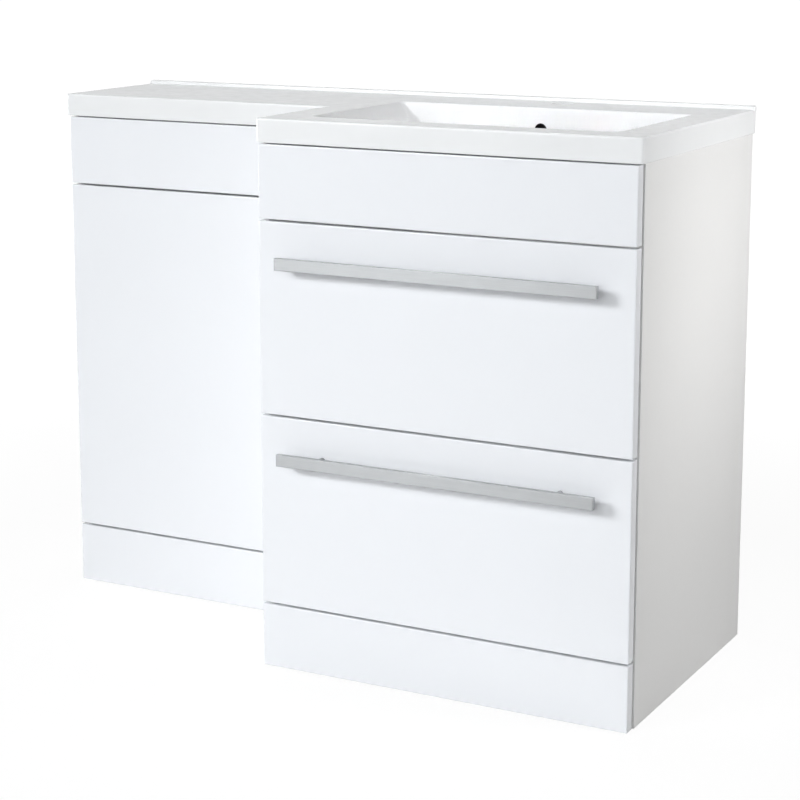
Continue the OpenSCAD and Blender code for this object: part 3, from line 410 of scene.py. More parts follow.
def handle_finish(base):
    """Satin anodised aluminium, brushed along the bar: noise drawn out along X, and gloss drawn
    out across the brush lines. The narrow faces, where the mesh's own value "faced" is 0, are
    duller, and painted lighter in base colour: painted light, standing in for what they reflect."""
    r = Recipe("satin aluminium", base, 0.48, metallic=1.0)
    r.set("Anisotropic", 0.9)
    r.set("Anisotropic Rotation", 0.25)
    brush = r.noise(1.0, 3.0, r.stretched((18.0, 2600.0, 2600.0)))
    faced = r.faced()
    r.set("Roughness", r.mixed(faced, 0.52, r.between(brush, 0.45, 0.51)))
    bright = r.tint(r.between(brush, 0.0, 1.0), base, shade(base, 0.93))
    # Painted light: the narrow faces get a base colour 1.3 times lighter than the brushed face.
    r.set("Base Color", r.tint(faced, shade(base, 1.3), bright))
    r.bump(brush, 0.10, 0.0001)
    return r.material


def zinc_finish(base):
    """Bright zinc plating: small spangle in the tone and the gloss."""
    r = Recipe("zinc plated steel", base, 0.32, metallic=1.0)
    spangle = r.noise(300.0, 3.0)
    bright, dull = shade(base, 1.08), shade(base, 0.88)
    r.set("Base Color", r.tint(r.between(spangle, 0.0, 1.0), bright, dull))
    r.set("Roughness", r.between(r.noise(500.0), 0.24, 0.42))
    r.bump(spangle, 0.08, 0.0001)
    return r.material


def runner_finish(base):
    """Epoxy coat on rolled steel: fine orange peel."""
    r = Recipe("coated runner steel", base, 0.34)
    r.set("Roughness", r.between(r.noise(90.0), 0.28, 0.40))
    r.bump(r.noise(900.0), 0.15, 0.0001)
    return r.material


def plastic_finish(name, base, gloss, grain):
    """Moulded plastic with a fine eroded grain."""
    r = Recipe(name, base, gloss)
    r.set("Base Color", r.tint(r.between(r.noise(12.0), 0.0, 1.0), base, shade(base, 0.96)))
    r.set("Roughness", r.between(r.noise(grain * 0.5), gloss - 0.06, gloss + 0.06))
    r.bump(r.noise(grain), 0.25, 0.0001)
    return r.material


def dowel_finish(base):
    """Raw beech: short dark flecks drawn out along the dowels, which lie along X and Y."""
    r = Recipe("raw beech", base, 0.62)
    grain = r.noise(1.0, 4.0, r.stretched((120.0, 120.0, 900.0)))
    light, dark = shade(base, 1.06), shade(base, 0.80)
    r.set("Base Color", r.tint(r.between(grain, 0.0, 1.0), light, dark))
    r.set("Roughness", r.between(grain, 0.55, 0.70))
    r.bump(grain, 0.25, 0.0002)
    return r.material


def paint(names, finish):
    """Gives CAD nodes a finish through their material slots."""
    for name in names:
        obj = nodes[name]
        if not obj.material_slots:
            obj.data.materials.append(finish)
        for held in obj.material_slots:
            held.material = finish


# ---------------- cast top

BEND = 0.72        # share of the bowl's depth at which its walls begin to curve into the floor
TURN = 7.5         # degrees between the points of the bowl's corners and of the tap hole
BEVEL = 0.5        # small bevel at the lower ends of the holes and of the waste's boss


def evenly(low, high, step):
    """Values from low to high, evenly spaced and about a step apart."""
    return np.linspace(low, high, max(2, int(round((high - low) / step)) + 1))


class CastTop:
    """Works out the cast top's surfaces in millimetres from its sizes and the CAD node's box."""

    def __init__(self, sizes):
        low, high = corners("basin_top")
        self.xl, self.yf, self.z_boss = low
        self.xr, self.yb, self.z_lip = high
        for key in CastTopSizes.__annotations__:
            setattr(self, key, getattr(sizes, key) / MM)
        self.top = self.surface
        self.bottom = self.surface - self.edge
        self.under = self.surface - self.deck
        self.mid_x = (self.bowl_left + self.bowl_right) / 2
        self.floor_front = self.bowl_front + self.front_run + self.fillet
        self.floor_back = self.bowl_back - self.back_run - self.fillet
        self.waste_y = (self.floor_front + self.floor_back) / 2
        self.band = 8.0             # strip along the outline that carries the edge's profile
        self.border = 14.0          # square frame round the bowl
        self.tap_frame = 25.0       # half the square round the tap hole
        self.web = (-66.0, -34.0)   # solid web under the step, between the two hollows
        self.lip = self.z_lip - self.top
        self.soft = self.lip / 3    # radius of the lip's hollow and of its crown
        self.steep = 0.2            # run of the steep face between them
        self.lip_start = self.yb - self.band - 2 * self.soft - self.steep
        self.lines()

    def lines(self):
        """Grid lines of the deck. They pass through the tangent points of the bowl's corner
        squares, centre plus or minus size times tan(a), so every patch meets the deck point for
        point."""
        wide, fine = 80.0, 17.0                      # widths of the grid's cells
        behind_bowl, behind_tap = 160.0, 235.0       # lines between bowl, tap hole and lip
        tan = np.tan(arc(0, 45, TURN))
        big = self.rim_corner + self.border
        self.cx0, self.cx1 = self.bowl_left + self.rim_corner, self.bowl_right - self.rim_corner
        self.cy0, self.cy1 = self.bowl_front + self.rim_corner, self.bowl_back - self.rim_corner
        tap = self.tap_frame * np.concatenate([-tan[::-1], tan[1:]])
        tx, ty = self.mid_x + tap, self.tap_y + tap
        band, skirt = self.band, self.skirt
        xs = [evenly(self.xl + skirt, self.web[0], wide),
              [self.xl + band, self.web[1], self.step_x + band],
              self.cx0 - big * tan, evenly(self.cx0, tx[0], fine), tx,
              evenly(tx[-1], self.cx1, fine), self.cx1 + big * tan,
              [self.xr - skirt, self.xr - band]]
        turn = arc(0, 90, 22.5)
        hollow = self.lip_start + self.soft * np.sin(turn)
        crown = self.yb - band - self.soft * np.cos(turn)
        ys = [[self.yf + band, self.yf + skirt, self.wc_front + band, self.wc_front + skirt],
              self.cy0 - big * tan, evenly(self.cy0, self.wc_front, fine)[:-1],
              evenly(self.wc_front + skirt, self.cy1, fine), self.cy1 + big * tan,
              [behind_bowl], ty, [behind_tap, self.yb - skirt], hollow, crown]
        self.xs, self.ys = self.sorted_lines(xs), self.sorted_lines(ys)

    @staticmethod
    def sorted_lines(groups):
        """All the values in order, those that fall together only once."""
        values = np.sort(np.concatenate([np.asarray(v, float) for v in groups]))
        return values[np.concatenate([[True], np.diff(values) > 0.01])]

    def lip_height(self, y):
        """Rise of the rear lip: a hollow quarter circle, a short steep face, a round crown."""
        lip, soft = self.lip, self.soft
        a = np.clip(y - self.lip_start, 0, soft)
        hollow = soft - np.sqrt(soft ** 2 - a ** 2)
        b = np.clip(self.yb - self.band - y, 0, soft)
        crown = lip - soft + np.sqrt(soft ** 2 - b ** 2)
        foot = self.lip_start + soft
        steep = soft + (y - foot) / self.steep * (lip - 2 * soft)
        return np.where(y <= foot, hollow, np.where(y >= foot + self.steep, crown, steep))

    def path(self):
        """Outline of the L, anticlockwise, as centre, direction, diagonal, corner radius and
        edge rounding. A point at inset o is centre + max(r - o, 0) direction
        + min(r - o, 0) diagonal."""
        entries = []

        def straight(points, out, edge):
            for p in points:
                entries.append((p, out, out, 0.0, edge))

        def corner(cx, cy, start, diagonal, radius, edge, next_edge):
            angles = arc(start, start + 90, 15.0)
            for k, a in enumerate(angles):
                here = edge + (next_edge - edge) * k / (len(angles) - 1)
                entries.append(((cx, cy), (math.cos(a), math.sin(a)), diagonal, radius, here))

        r, e = self.corner, self.edge_round
        back_r, back_e = 1.5, 1.2    # corner radius and rounding of the lip's back edge
        inner_x, inner_y = self.step_x + self.band, self.wc_front + self.band
        xs, ys = self.xs, self.ys
        front_x = xs[xs >= inner_x - 0.01]
        straight([(x, self.yf) for x in front_x], (0, -1), e)
        corner(self.xr - r, self.yf + r, -90, (1, -1), r, e, e)
        straight([(self.xr, y) for y in ys], (1, 0), e)
        corner(self.xr - back_r, self.yb - back_r, 0, (1, 1), back_r, e, back_e)
        straight([(x, self.yb) for x in xs[::-1]], (0, 1), back_e)
        corner(self.xl + back_r, self.yb - back_r, 90, (-1, 1), back_r, back_e, e)
        straight([(self.xl, y) for y in ys[ys >= inner_y - 0.01][::-1]], (-1, 0), e)
        corner(self.xl + r, self.wc_front + r, 180, (-1, -1), r, e, e)
        straight([(x, self.wc_front) for x in xs[xs < self.step_x]], (0, -1), e)
        entries.append(((self.step_x, self.wc_front), (0, 0), (-1, -1), 0.0, e))
        straight([(self.step_x, y) for y in ys[ys < self.wc_front][::-1]], (-1, 0), e)
        corner(self.step_x + r, self.yf + r, 180, (-1, -1), r, e, e)
        return [np.array(v, float) for v in zip(*entries)]

    def add_edge(self, shell):
        """The deck's edge: a profile of insets and heights carried along the outline, with the
        upper rounding, an upright face and a lower rounding of 1 mm. Only the upper part follows
        the rear lip."""
        centre, out, diagonal, radius, r = self.path()
        rows = [(self.band, 0.0, 1.0), (r + 1.0, 0.0, 1.0)]
        rows += [(inset, -depth, 1.0) for inset, depth in rounding(r, 8)]
        rows += [(0.0, -r - 1.0, 1.0), (0.0, 2.0 - self.edge, 0.0)]
        rows += [(inset, depth - self.edge, 0.0) for inset, depth in rounding(1.0, 4)[::-1]]
        rows += [(self.band, -self.edge, 0.0)]
        grid = []
        for inset, drop, follows_lip in rows:
            room = (radius - inset)[:, None]
            p = centre + np.maximum(room, 0) * out + np.minimum(room, 0) * diagonal
            z = self.top + drop + follows_lip * self.lip_height(p[:, 1])
            grid.append(np.concatenate([p, z[:, None]], axis=1))
        shell.add_rings(grid)

    def deck_cells(self):
        """Which grid cells belong to the L, with and without the squares that the bowl and the
        tap hole take, and which lie over the hollow underside."""
        x = (self.xs[1:] + self.xs[:-1])[:, None] / 2
        y = (self.ys[1:] + self.ys[:-1])[None, :] / 2
        border, skirt = self.border, self.skirt
        inside = (x > self.step_x + self.band) | (y > self.wc_front + self.band)
        bowl = ((x > self.bowl_left - border) & (x < self.bowl_right + border)
                & (y > self.bowl_front - border) & (y < self.bowl_back + border))
        tap = (abs(x - self.mid_x) < self.tap_frame) & (abs(y - self.tap_y) < self.tap_frame)
        deep = (x > self.web[1]) & (x < self.xr - skirt) & (y > self.yf + skirt)
        shallow = (x > self.xl + skirt) & (x < self.web[0]) & (y > self.wc_front + skirt)
        return inside & ~bowl & ~tap, inside, (deep | shallow) & (y < self.yb - skirt)

    def add_deck(self, shell):
        """The flat deck above and the stepped underside below, cell by cell."""
        cells, inside, hollow = self.deck_cells()
        nx, ny = len(self.xs), len(self.ys)
        gx, gy = np.meshgrid(self.xs, self.ys, indexing="ij")
        quads = grid_quads(nx, ny)
        shell.add(np.stack([gx, gy, self.top + self.lip_height(gy)], -1), quads[cells.ravel()])
        levels = [np.stack([gx, gy, 0 * gx + z], -1) for z in (self.bottom, self.under)]
        for level, chosen in zip(levels, (cells & ~hollow, cells & hollow)):
            shell.add(level, quads[chosen.ravel()])
        index = np.arange(nx * ny).reshape(nx, ny)
        walls = []
        for one, other, di, dj in ((np.s_[1:], np.s_[:-1], 1, 0),
                                   (np.s_[:, 1:], np.s_[:, :-1], 0, 1)):
            edge = inside[one] & inside[other] & (hollow[one] != hollow[other])
            i, j = np.nonzero(edge)
            a, b = index[i + di, j + dj], index[i + 1, j + 1]
            walls.append(np.stack([a, b, b + nx * ny, a + nx * ny], -1))
        shell.add(np.stack(levels), np.concatenate(walls))

    def ring(self, x0, x1, y0, y1, back, front, square):
        """Ring round the bowl. A corner point is its centre
        + radius (cos a, sin a) / max(|cos a|, |sin a|)^square: square 0 is round, 1 is a sharp
        corner. Straight points keep their share of the side."""
        side_y = self.ys[(self.ys > self.cy0 + 0.01) & (self.ys < self.cy1 - 0.01)]
        side_x = self.xs[(self.xs > self.cx0 + 0.01) & (self.xs < self.cx1 - 0.01)]
        share_y = (side_y - self.cy0) / (self.cy1 - self.cy0)
        share_x = (side_x - self.cx0) / (self.cx1 - self.cx0)
        side = y0 + front + share_y * (y1 - y0 - front - back)
        far = x0 + back + share_x[::-1] * (x1 - x0 - 2 * back)
        near = x0 + front + share_x * (x1 - x0 - 2 * front)

        def corner(cx, cy, radius, start):
            a = arc(start, start + 90, TURN)
            c, s = np.cos(a), np.sin(a)
            reach = radius / np.maximum(abs(c), abs(s)) ** square
            return np.stack([cx + reach * c, cy + reach * s], -1)

        return np.concatenate([
            np.stack([0 * side + x1, side], -1), corner(x1 - back, y1 - back, back, 0),
            np.stack([far, 0 * far + y1], -1), corner(x0 + back, y1 - back, back, 90),
            np.stack([0 * side + x0, side[::-1]], -1), corner(x0 + front, y0 + front, front, 180),
            np.stack([near, 0 * near + y0], -1), corner(x1 - front, y0 + front, front, 270)])

    def grown(self, g, square=0.0):
        """Ring round the bowl's opening, grown outwards by g. A square ring has the rear radius
        all round."""
        front = self.front_corner + (self.rim_corner - self.front_corner) * square
        return self.ring(self.bowl_left - g, self.bowl_right + g, self.bowl_front - g,
                         self.bowl_back + g, self.rim_corner + g, front + g, square)

    def level(self, depth, g=0.0):
        """Ring of the bowl's wall at a share of its depth, grown outwards by g. A wall runs in by
        run times depth, and below the bend also by fillet (1 - sqrt(1 - t^2)), t going from 0 at
        the bend to 1 at the floor."""
        t = max(0.0, (depth - BEND) / (1 - BEND))
        soft = self.fillet * (1 - math.sqrt(max(0.0, 1 - t * t)))
        side, front, back = (run * depth + soft - g
                             for run in (self.side_run, self.front_run, self.back_run))
        rear_r, front_r = (r + (self.floor_corner - r) * depth + g
                           for r in (self.rim_corner, self.front_corner))
        return self.ring(self.bowl_left + side, self.bowl_right - side, self.bowl_front + front,
                         self.bowl_back - back, rear_r, front_r, 0.0)

    @staticmethod
    def depths(start, even, curved):
        """Shares of the bowl's depth for the rings of its wall: even ones from start to the bend,
        then curved ones to the floor, by the sine of 0 to 90 degrees."""
        return (list(np.linspace(start, BEND, even))
                + [BEND + (1 - BEND) * math.sin(v) for v in quarter(curved)[1:]])

    @staticmethod
    def at(ring, z):
        return np.concatenate([ring, np.full((len(ring), 1), float(z))], axis=1)

    def circle(self, ring, radius):
        """The ring's points drawn onto a circle round the waste, each in its own direction."""
        centre = np.array([self.mid_x, self.waste_y])
        away = ring - centre
        return centre + radius * away / np.linalg.norm(away, axis=1, keepdims=True)

    def add_bowl(self, shell):
        """The bowl from the deck down to the waste hole, round its boss and up its outer side.
        The rim is a quadratic curve between the deck 3 mm out, the edge, and the wall 3 mm down.
        The floor falls towards the waste by dish t^2 (3 - 2t), t going from 0 to 1."""
        top, depth, at = self.top, self.bowl_depth, self.at
        rim, dish = 3.0, 4.0
        rows = [at(self.grown(g, square), top)
                for g, square in ((self.border, 1.0), (9.0, 0.5), (4.5, 0.0))]
        deck, edge = at(self.grown(rim), top), at(self.grown(0.0), top)
        wall = at(self.level(rim / depth), top - rim)
        for s in np.linspace(0, 1, 8):
            rows.append((1 - s) ** 2 * deck + 2 * s * (1 - s) * edge + s ** 2 * wall)
        for d in self.depths(rim / depth, 9, 14)[1:]:
            rows.append(at(self.level(d), top - depth * d))
        floor, z = self.level(1.0), top - depth
        reach = (self.floor_back - self.floor_front) / 2 - 6    # widest circle in the floor
        hole, seat, boss = (self.waste_hole + more for more in (0, 6, 10))
        rows.append(at(0.4 * floor + 0.6 * self.circle(floor, reach), z))
        circles = [(reach + (seat - reach) * t, z - dish * t * t * (3 - 2 * t))
                   for t in np.linspace(0, 1, 9)]
        circles += [(hole + inset, z - dish - down) for inset, down in rounding(1.0, 3)]
        circles += [(hole, self.z_boss + BEVEL), (hole + BEVEL, self.z_boss),
                    (boss - BEVEL, self.z_boss), (boss, self.z_boss + BEVEL),
                    (boss, z - self.wall)]
        rows += [at(self.circle(floor, radius), height) for radius, height in circles]
        fall = depth + self.wall
        for d in self.depths(self.deck / fall, 6, 8)[::-1]:
            rows.append(at(self.level(d, self.wall), top - fall * d))
        rows.append(at(self.grown(self.border, 1.0), self.under))
        shell.add_rings(rows)

    def add_tap(self, shell):
        """The tap hole: squares of the deck drawn in to circles, a 1.5 mm rounding, the wall, the
        underside. A row's points lie at radius / max(|cos a|, |sin a|)^square."""
        a = arc(0, 360 - TURN, TURN)
        c, s = np.cos(a), np.sin(a)
        far = np.maximum(abs(c), abs(s))
        hole, soft, top, under = self.tap_hole, 1.5, self.top, self.under
        rows = [(self.tap_frame, 1.0, top), (hole + 4.5, 0.3, top), (hole + soft + 1, 0.0, top)]
        rows += [(hole + inset, 0.0, top - depth) for inset, depth in rounding(soft, 5)]
        rows += [(hole, 0.0, under + BEVEL), (hole + BEVEL, 0.0, under),
                 (self.tap_frame, 1.0, under)]
        grid = [np.stack([self.mid_x + r / far ** q * c, self.tap_y + r / far ** q * s, 0 * c + z],
                         -1) for r, q, z in rows]
        shell.add_rings(grid)


def block(low, high):
    """A closed block of six quads, used only to add to the cast top or to cut it."""
    shell = Shell()
    x, y, z = np.meshgrid(*zip(low, high), indexing="ij")
    faces = [[0, 1, 3, 2], [4, 6, 7, 5], [0, 4, 5, 1], [2, 3, 7, 6], [0, 2, 6, 4], [1, 5, 7, 3]]
    shell.add(np.stack([x, y, z], -1), faces)
    return closed_piece("cutter", shell)


def combine(obj, other, how):
    """Joins or cuts one closed piece with another and keeps the result as the piece's own
    mesh."""
    change = obj.modifiers.new("combine", "BOOLEAN")
    change.operation = how
    change.solver = "EXACT"
    change.object = other
    graph = bpy.context.evaluated_depsgraph_get()
    data = bpy.data.meshes.new_from_object(obj.evaluated_get(graph))
    if not data.polygons:
        raise RuntimeError("nothing was left of " + obj.name)
    obj.modifiers.clear()
    old, obj.data = obj.data, data
    bpy.data.meshes.remove(old)
    bpy.data.objects.remove(other)


class UNIT_OT_cast_top(bpy.types.Operator):
    """Cast basin top with its bowl, lip, holes and hollow underside"""
    bl_idname = "unit.cast_top"
    bl_label = "Cast top"

    def execute(self, context):
        top = CastTop(context.scene.unit_cast_top)
        shell = Shell()
        for add in (top.add_edge, top.add_deck, top.add_bowl, top.add_tap):
            add(shell)
        obj = closed_piece("cast_basin_top", shell)
        mid, floor, surface = top.mid_x, top.top - top.bowl_depth, top.top
        # The overflow's housing lies under the floor and stands behind the bowl; the channel in
        # it leads from the overflow to the waste. Each has its half width and its end in Y.
        housing, housing_back, housing_foot = 17.0, 153.0, floor - 26
        slot, slot_back, slot_foot = 12.0, 143.0, floor - 21
        for half, front, back, foot, roof, how in (
                (housing, 28.0, housing_back, housing_foot, floor - 7, "UNION"),
                (housing, 129.0, housing_back, housing_foot, top.under + 1, "UNION"),
                (slot, 131.0, slot_back, slot_foot, surface - 20, "DIFFERENCE"),
                (slot, top.waste_y + 1, slot_back, slot_foot, floor - 9, "DIFFERENCE")):
            combine(obj, block((mid - half, front, foot), (mid + half, back, roof)), how)
        bore = Shell()
        start, end, r = 90.0, 137.0, top.overflow
        turned(bore, (mid, 0, surface - top.overflow_drop), "y",
               [(0.001, start), (r, start), (r, end), (0.001, end)])
        combine(obj, closed_piece("cutter", bore), "DIFFERENCE")
        close_mesh(obj.data)
        # Box of painted shade: inside the overflow's channel the cast is painted nearly black.
        dark = ((mid - slot - 0.5, 126.2, slot_foot - 1),
                (mid + slot + 0.5, slot_back + 0.5, surface - 19))
        channel = [[v * MM for v in corner] for corner in dark]
        finish = cast_finish(context.scene.unit_finishes.cast, channel)
        place(obj, finish, "unit", ["basin_top"])
        return {"FINISHED"}


# ---------------- fronts and handles

FRONTS = {"vanity_fascia": "unit", "vanity_plinth": "unit", "wc_fascia": "unit",
          "wc_access_panel": "unit", "wc_plinth": "unit",
          "upper_front": "upper_drawer", "lower_front": "lower_drawer"}


def mark_faces(data, near, far, soft):
    """Writes the mesh value "faced": 1 on the faces at near and far, falling to 0 over soft."""
    points = np.empty(len(data.vertices) * 3)
    data.vertices.foreach_get("co", points)
    y = points.reshape(-1, 3)[:, 1] / MM
    away = np.minimum(abs(y - near), abs(y - far))
    made = data.attributes.new("faced", "FLOAT", "POINT")
    made.data.foreach_set("value", np.clip(1 - away / soft, 0, 1))


class UNIT_OT_fronts(bpy.types.Operator):
    """Gloss white fronts with rounded edges, each in its CAD node's place"""
    bl_idname = "unit.fronts"
    bl_label = "Fronts"

    def execute(self, context):
        finish = front_finish(context.scene.unit_finishes.front)
        front_r, back_r = context.scene.unit_fronts.edge_round / MM, 0.3
        for name, body in FRONTS.items():
            shell = Shell()
            low, high = corners(name)
            rounded_slab(shell, low, high, front_r, back_r)
            obj = closed_piece(name + "_board", shell)
            # The value marks the narrow edges, which the finish paints darker as painted shade.
            mark_faces(obj.data, low[1], high[1], front_r)
            place(obj, finish, body, [name])
        return {"FINISHED"}


class UNIT_OT_handles(bpy.types.Operator):
    """Bar handles of satin aluminium on turned posts"""
    bl_idname = "unit.handles"
    bl_label = "Handles"

    def execute(self, context):
        finish = handle_finish(context.scene.unit_finishes.handle)
        sizes = context.scene.unit_fronts
        soft, post_soft = sizes.bar_round / MM, sizes.post_round / MM
        for level in ("upper", "lower"):
            body = level + "_drawer"
            shell = Shell()
            low, high = corners(level + "_handle_bar")
            rounded_slab(shell, low, high, soft, soft, soft, 5)
            bar = closed_piece(level + "_bar", shell)
            # The value marks the bar's narrow faces, which the finish paints lighter as painted
            # light.
            mark_faces(bar.data, low[1], high[1], soft * 0.4)
            place(bar, finish, body, [level + "_handle_bar"])
            low, high = corners(level + "_handle_posts")
            radius, near, far = (high[2] - low[2]) / 2, low[1], high[1]
            shell = Shell()
            ends = rounding(post_soft, 4)
            profile = [(0.001, near), (radius - post_soft, near)]
            profile += [(radius - inset, near + depth) for inset, depth in ends]
            profile += [(radius - inset, far - depth) for inset, depth in ends[::-1]]
            profile += [(radius - post_soft, far), (0.001, far)]
            for x in (low[0] + radius, high[0] - radius):
                turned(shell, (x, 0, (low[2] + high[2]) / 2), "y", profile)
            posts = closed_piece(level + "_posts", shell)
            # The posts' round sides count as narrow faces and get the painted light too.
            mark_faces(posts.data, near, far, radius)
            place(posts, finish, body, [level + "_handle_posts"])
        return {"FINISHED"}


# ---------------- cabinets, drawers and runners

class UNIT_OT_cabinets(bpy.types.Operator):
    """White melamine for the two carcasses"""
    bl_idname = "unit.cabinets"
    bl_label = "Cabinets"

    def execute(self, context):
        base = context.scene.unit_finishes.carcass
        boards = [n for n in nodes if n.startswith(("vanity_", "wc_")) and n not in FRONTS]
        paint(boards, board_finish("satin white melamine", base, 0.36, 700.0))
        return {"FINISHED"}


class UNIT_OT_drawer_boxes(bpy.types.Operator):
    """Drawer boxes, their dowels and the surround of the trap recess"""
    bl_idname = "unit.drawer_boxes"
    bl_label = "Drawer boxes"

    def execute(self, context):
        colours = context.scene.unit_finishes
        parts = ("_side_left", "_side_right", "_back", "_back_left", "_back_right", "_bottom")
        names = [level + part for level in ("upper", "lower") for part in parts]
        finish = board_finish("matt white melamine", colours.drawer, 0.48, 500.0)
        paint([name for name in names if name in nodes], finish)
        grey = plastic_finish("grey moulded plastic", colours.surround, 0.48, 700.0)
        paint(["trap_surround"], grey)
        beech = dowel_finish(colours.dowel)
        paint(["carcass_dowels", "upper_dowels", "lower_dowels"], beech)
        return {"FINISHED"}


ROLLER_WIDTH = 7.8    # of one roller in millimetres; a node's box holds two, left and right


class UNIT_OT_runners(bpy.types.Operator):
    """Coated steel rails and tracks, and their turned rollers"""
    bl_idname = "unit.runners"
    bl_label = "Runners"

    def execute(self, context):
        colours = context.scene.unit_finishes
        ends = ("rail_left", "rail_right", "track_left", "track_right")
        paint([n for n in nodes if n.endswith(ends)], runner_finish(colours.runner))
        plastic = plastic_finish("roller plastic", colours.roller, 0.42, 900.0)
        for name in [n for n in nodes if n.endswith("_rollers")]:
            low, high = corners(name)
            middle = (low + high) / 2
            profile = roller_profile((high[2] - low[2]) / 2, ROLLER_WIDTH)
            shell = Shell()
            for left in (low[0], high[0] - ROLLER_WIDTH):
                turned(shell, (left, middle[1], middle[2]), "x", profile)
            obj = closed_piece(name + "_turned", shell)
            place(obj, plastic, name, [name])
        return {"FINISHED"}


def roller_profile(radius, width):
    """Closed section of a roller: rounded tread, a shallow groove in each side face, the bore."""
    soft, bore, deep = 0.7, 3.05, 0.9
    hub, tyre = bore + 1.2, radius - 2.0
    half = [(bore, 0.0), (hub, 0.0), (hub + 0.3, deep * 0.3), (hub + 0.5, deep),
            (tyre - 0.6, deep), (tyre - 0.3, deep * 0.3), (tyre, 0.0)]
    half += [(radius - inset, depth) for inset, depth in rounding(soft, 4)]
    other = [(r, width - d) for r, d in half[::-1]]
    return half + other + [half[0]]


class UNIT_OT_fittings(bpy.types.Operator):
    """Zinc plated fittings, plastic clips and soft buffers"""
    bl_idname = "unit.fittings"
    bl_label = "Fittings"

    def execute(self, context):
        colours = context.scene.unit_finishes
        paint(["carcass_cams", "carcass_cam_bolts", "link_sleeves", "link_screws",
               "wall_brackets", "wood_screws", "upper_handle_screws", "lower_handle_screws"],
              zinc_finish(colours.zinc))
        paint(["panel_clips"], plastic_finish("clip plastic", colours.clip, 0.45, 800.0))
        paint(["drawer_buffers"], plastic_finish("soft buffer", colours.buffer, 0.70, 900.0))
        return {"FINISHED"}


# ---------------- stage

WHITE, COOL = (1.0, 1.0, 1.0), (0.975, 0.99, 1.0)

# Name, place and aim in metres, width and height, power in watts, tint, beam in degrees. The
# first two light the fronts; two narrow beams reach the bowl's back and left wall; the others
# show the right side, the deck, the left side and the back.
LAMPS = (
    ("key light", (-1.95, -3.80, 2.3), (0.08, -0.15, 0.5), (1.7, 0.8), 20.0, COOL, 78.0),
    ("fill light", (0.6, -3.55, 1.5), (0.2, 0.0, 0.40), (2.0, 2.0), 47.0, COOL, 180.0),
    ("bowl light", (0.26, -2.3, 1.60), (0.37, 0.12, 0.80), (0.6, 0.04), 0.067, WHITE, 3.0),
    ("bowl side light", (1.40, -0.5, 1.50), (0.04, -0.02, 0.80), (0.3, 0.04), 0.030, WHITE, 4.0),
    ("side light", (1.5, 0.16, 1.04), (0.55, 0.06, 0.50), (0.4, 0.4), 2.9, WHITE, 90.0),
    ("top light", (-0.45, 0.06, 3.0), (-0.25, 0.06, 0.8), (0.8, 0.5), 3.8, WHITE, 90.0),
    ("left light", (-3.2, 0.32, 0.55), (-0.5, 0.12, 0.45), (0.3, 0.8), 5.0, WHITE, 70.0),
    ("back light", (0.1, 3.2, 0.50), (0.1, 0.2, 0.45), (1.2, 0.5), 8.0, WHITE, 80.0),
)

CAMERA_PLACE = (1.5647, -2.8174, 1.1275)
CAMERA_YAW, CAMERA_PITCH = -27.918, -10.486    # degrees from straight ahead and from level
CAMERA_LENS, CAMERA_SENSOR = 93.852, 36.0
CAMERA_SHIFT = -0.12                           # upright; it frames the whole unit
FLOOR_HALF = 40000.0                           # millimetres


def lamp(name, location, aim, size, power, tint, beam):
    """A soft box of the given width and height, aimed at a point; its beam may be narrow."""
    data = bpy.data.lights.new(name, "AREA")
    data.shape = "RECTANGLE"
    data.size, data.size_y = size
    data.energy = power
    data.color = tint
    data.spread = math.radians(beam)
    obj = new_object(name, data)
    obj.visible_camera = False
    obj.location = location
    direction = Vector(aim) - Vector(location)
    obj.rotation_euler = direction.to_track_quat("-Z", "Y").to_euler()


def floor_finish():
    """Pale floor. The camera sees it nearly white near the unit, with a soft shadow, and white
    far away; reflections see it partly glowing; other rays see plain pale grey."""
    r = Recipe("pale floor", (0.82, 0.82, 0.82), 0.9)
    ray = r.node("LightPath").outputs
    away = r.node("VectorMath", Vector=r.where)
    away.operation = "LENGTH"
    share = r.ranged(away.outputs["Value"], 0.9, 2.2, 0.88, 1.0)
    mirrored = r.maths("MULTIPLY", ray["Is Glossy Ray"], 0.45)
    seen = r.maths("MULTIPLY_ADD", ray["Is Camera Ray"], share, mirrored)
    glow = r.node("Emission", Color=WHITE, Strength=1.04)
    mix = r.node("MixShader", seen, r.shader.outputs[0], glow.outputs[0])
    r.fill(r.out.inputs[0], mix.outputs[0])
    return r.material


def pale_world():
    """White to the camera. Reflections see it light at the horizon and darker overhead, as in a
    studio with a dark ceiling; only a faint diffuse light comes from it."""
    world = bpy.data.worlds.new("pale surroundings")
    world.use_nodes = True
    w = Nodes(world.node_tree)
    ray = w.node("LightPath").outputs
    around = w.node("TexCoord").outputs["Generated"]
    height = w.node("SeparateXYZ", Vector=around).outputs[2]
    overhead = w.ranged(height, 0.34, 0.8, 0.9, 0.4)
    result = w.node("Background", Color=(0.97, 0.985, 1.0), Strength=0.04)
    for kind, tone, strength in (("Is Glossy Ray", (0.985, 0.993, 1.0), overhead),
                                 ("Is Camera Ray", WHITE, 1.0)):
        shown = w.node("Background", Color=tone, Strength=strength)
        result = w.node("MixShader", ray[kind], result.outputs[0], shown.outputs[0])
    w.node("OutputWorld", result.outputs[0])
    return world


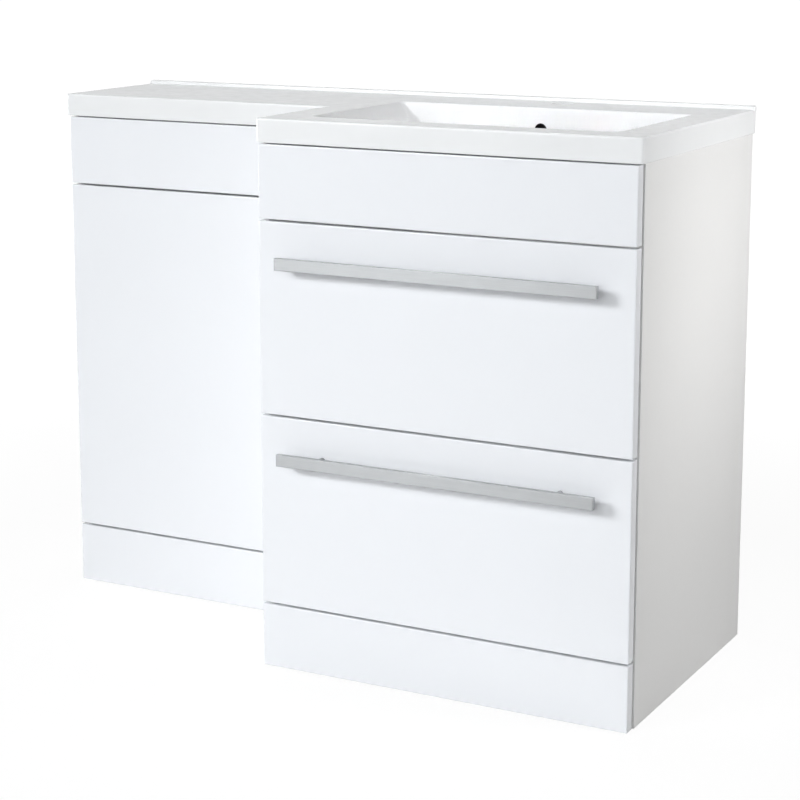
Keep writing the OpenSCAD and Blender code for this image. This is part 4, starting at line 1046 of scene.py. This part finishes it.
class UNIT_OT_stage(bpy.types.Operator):
    """Floor, soft lights, pale surroundings and the camera"""
    bl_idname = "unit.stage"
    bl_label = "Stage"

    def execute(self, context):
        scene = context.scene
        shell = Shell()
        shell.add([[x * FLOOR_HALF, y * FLOOR_HALF, 0]
                   for x, y in ((-1, -1), (1, -1), (1, 1), (-1, 1))], [[0, 1, 2, 3]])
        floor = new_object("floor", shell.mesh("floor"))
        floor.data.materials.append(floor_finish())
        scene.world = pale_world()
        for entry in LAMPS:
            lamp(*entry)
        data = bpy.data.cameras.new("camera")
        data.sensor_width = CAMERA_SENSOR
        data.sensor_fit = "HORIZONTAL"
        data.lens = CAMERA_LENS
        data.shift_x, data.shift_y = 0.0, CAMERA_SHIFT
        data.clip_start, data.clip_end = 0.05, 200.0
        camera = new_object("camera", data)
        camera.location = CAMERA_PLACE
        yaw, pitch = math.radians(CAMERA_YAW), math.radians(CAMERA_PITCH)
        ahead = Vector((math.sin(yaw) * math.cos(pitch), math.cos(yaw) * math.cos(pitch),
                        math.sin(pitch)))
        camera.rotation_euler = ahead.to_track_quat("-Z", "Y").to_euler()
        scene.camera = camera
        scene.view_settings.view_transform = "Standard"
        return {"FINISHED"}


# ---------------- panel and run

STEPS = (UNIT_OT_cabinets, UNIT_OT_cast_top, UNIT_OT_fronts, UNIT_OT_handles,
         UNIT_OT_drawer_boxes, UNIT_OT_runners, UNIT_OT_fittings, UNIT_OT_stage)
GROUPS = (("unit_cast_top", CastTopSizes), ("unit_fronts", FrontSizes),
          ("unit_finishes", Finishes))


class UNIT_PT_panel(bpy.types.Panel):
    """Lists the unit's sizes, colours and building steps"""
    bl_label = "Bathroom unit"
    bl_idname = "UNIT_PT_panel"
    bl_space_type = "VIEW_3D"
    bl_region_type = "UI"
    bl_category = "Unit"

    def draw(self, context):
        for key, group in GROUPS:
            column = self.layout.column(align=True)
            for name in group.__annotations__:
                column.prop(getattr(context.scene, key), name)
        for step in STEPS:
            self.layout.operator(step.bl_idname)


def register():
    for key, group in GROUPS:
        bpy.utils.register_class(group)
        setattr(bpy.types.Scene, key, bpy.props.PointerProperty(type=group))
    for step in STEPS + (UNIT_PT_panel,):
        bpy.utils.register_class(step)


def unregister():
    for step in (UNIT_PT_panel,) + STEPS[::-1]:
        bpy.utils.unregister_class(step)
    for key, group in GROUPS[::-1]:
        delattr(bpy.types.Scene, key)
        bpy.utils.unregister_class(group)


def main():
    register()
    bpy.ops.unit.cabinets()
    bpy.ops.unit.cast_top()
    bpy.ops.unit.fronts()
    bpy.ops.unit.handles()
    bpy.ops.unit.drawer_boxes()
    bpy.ops.unit.runners()
    bpy.ops.unit.fittings()
    bpy.ops.unit.stage()


if __name__ == "__main__":
    main()
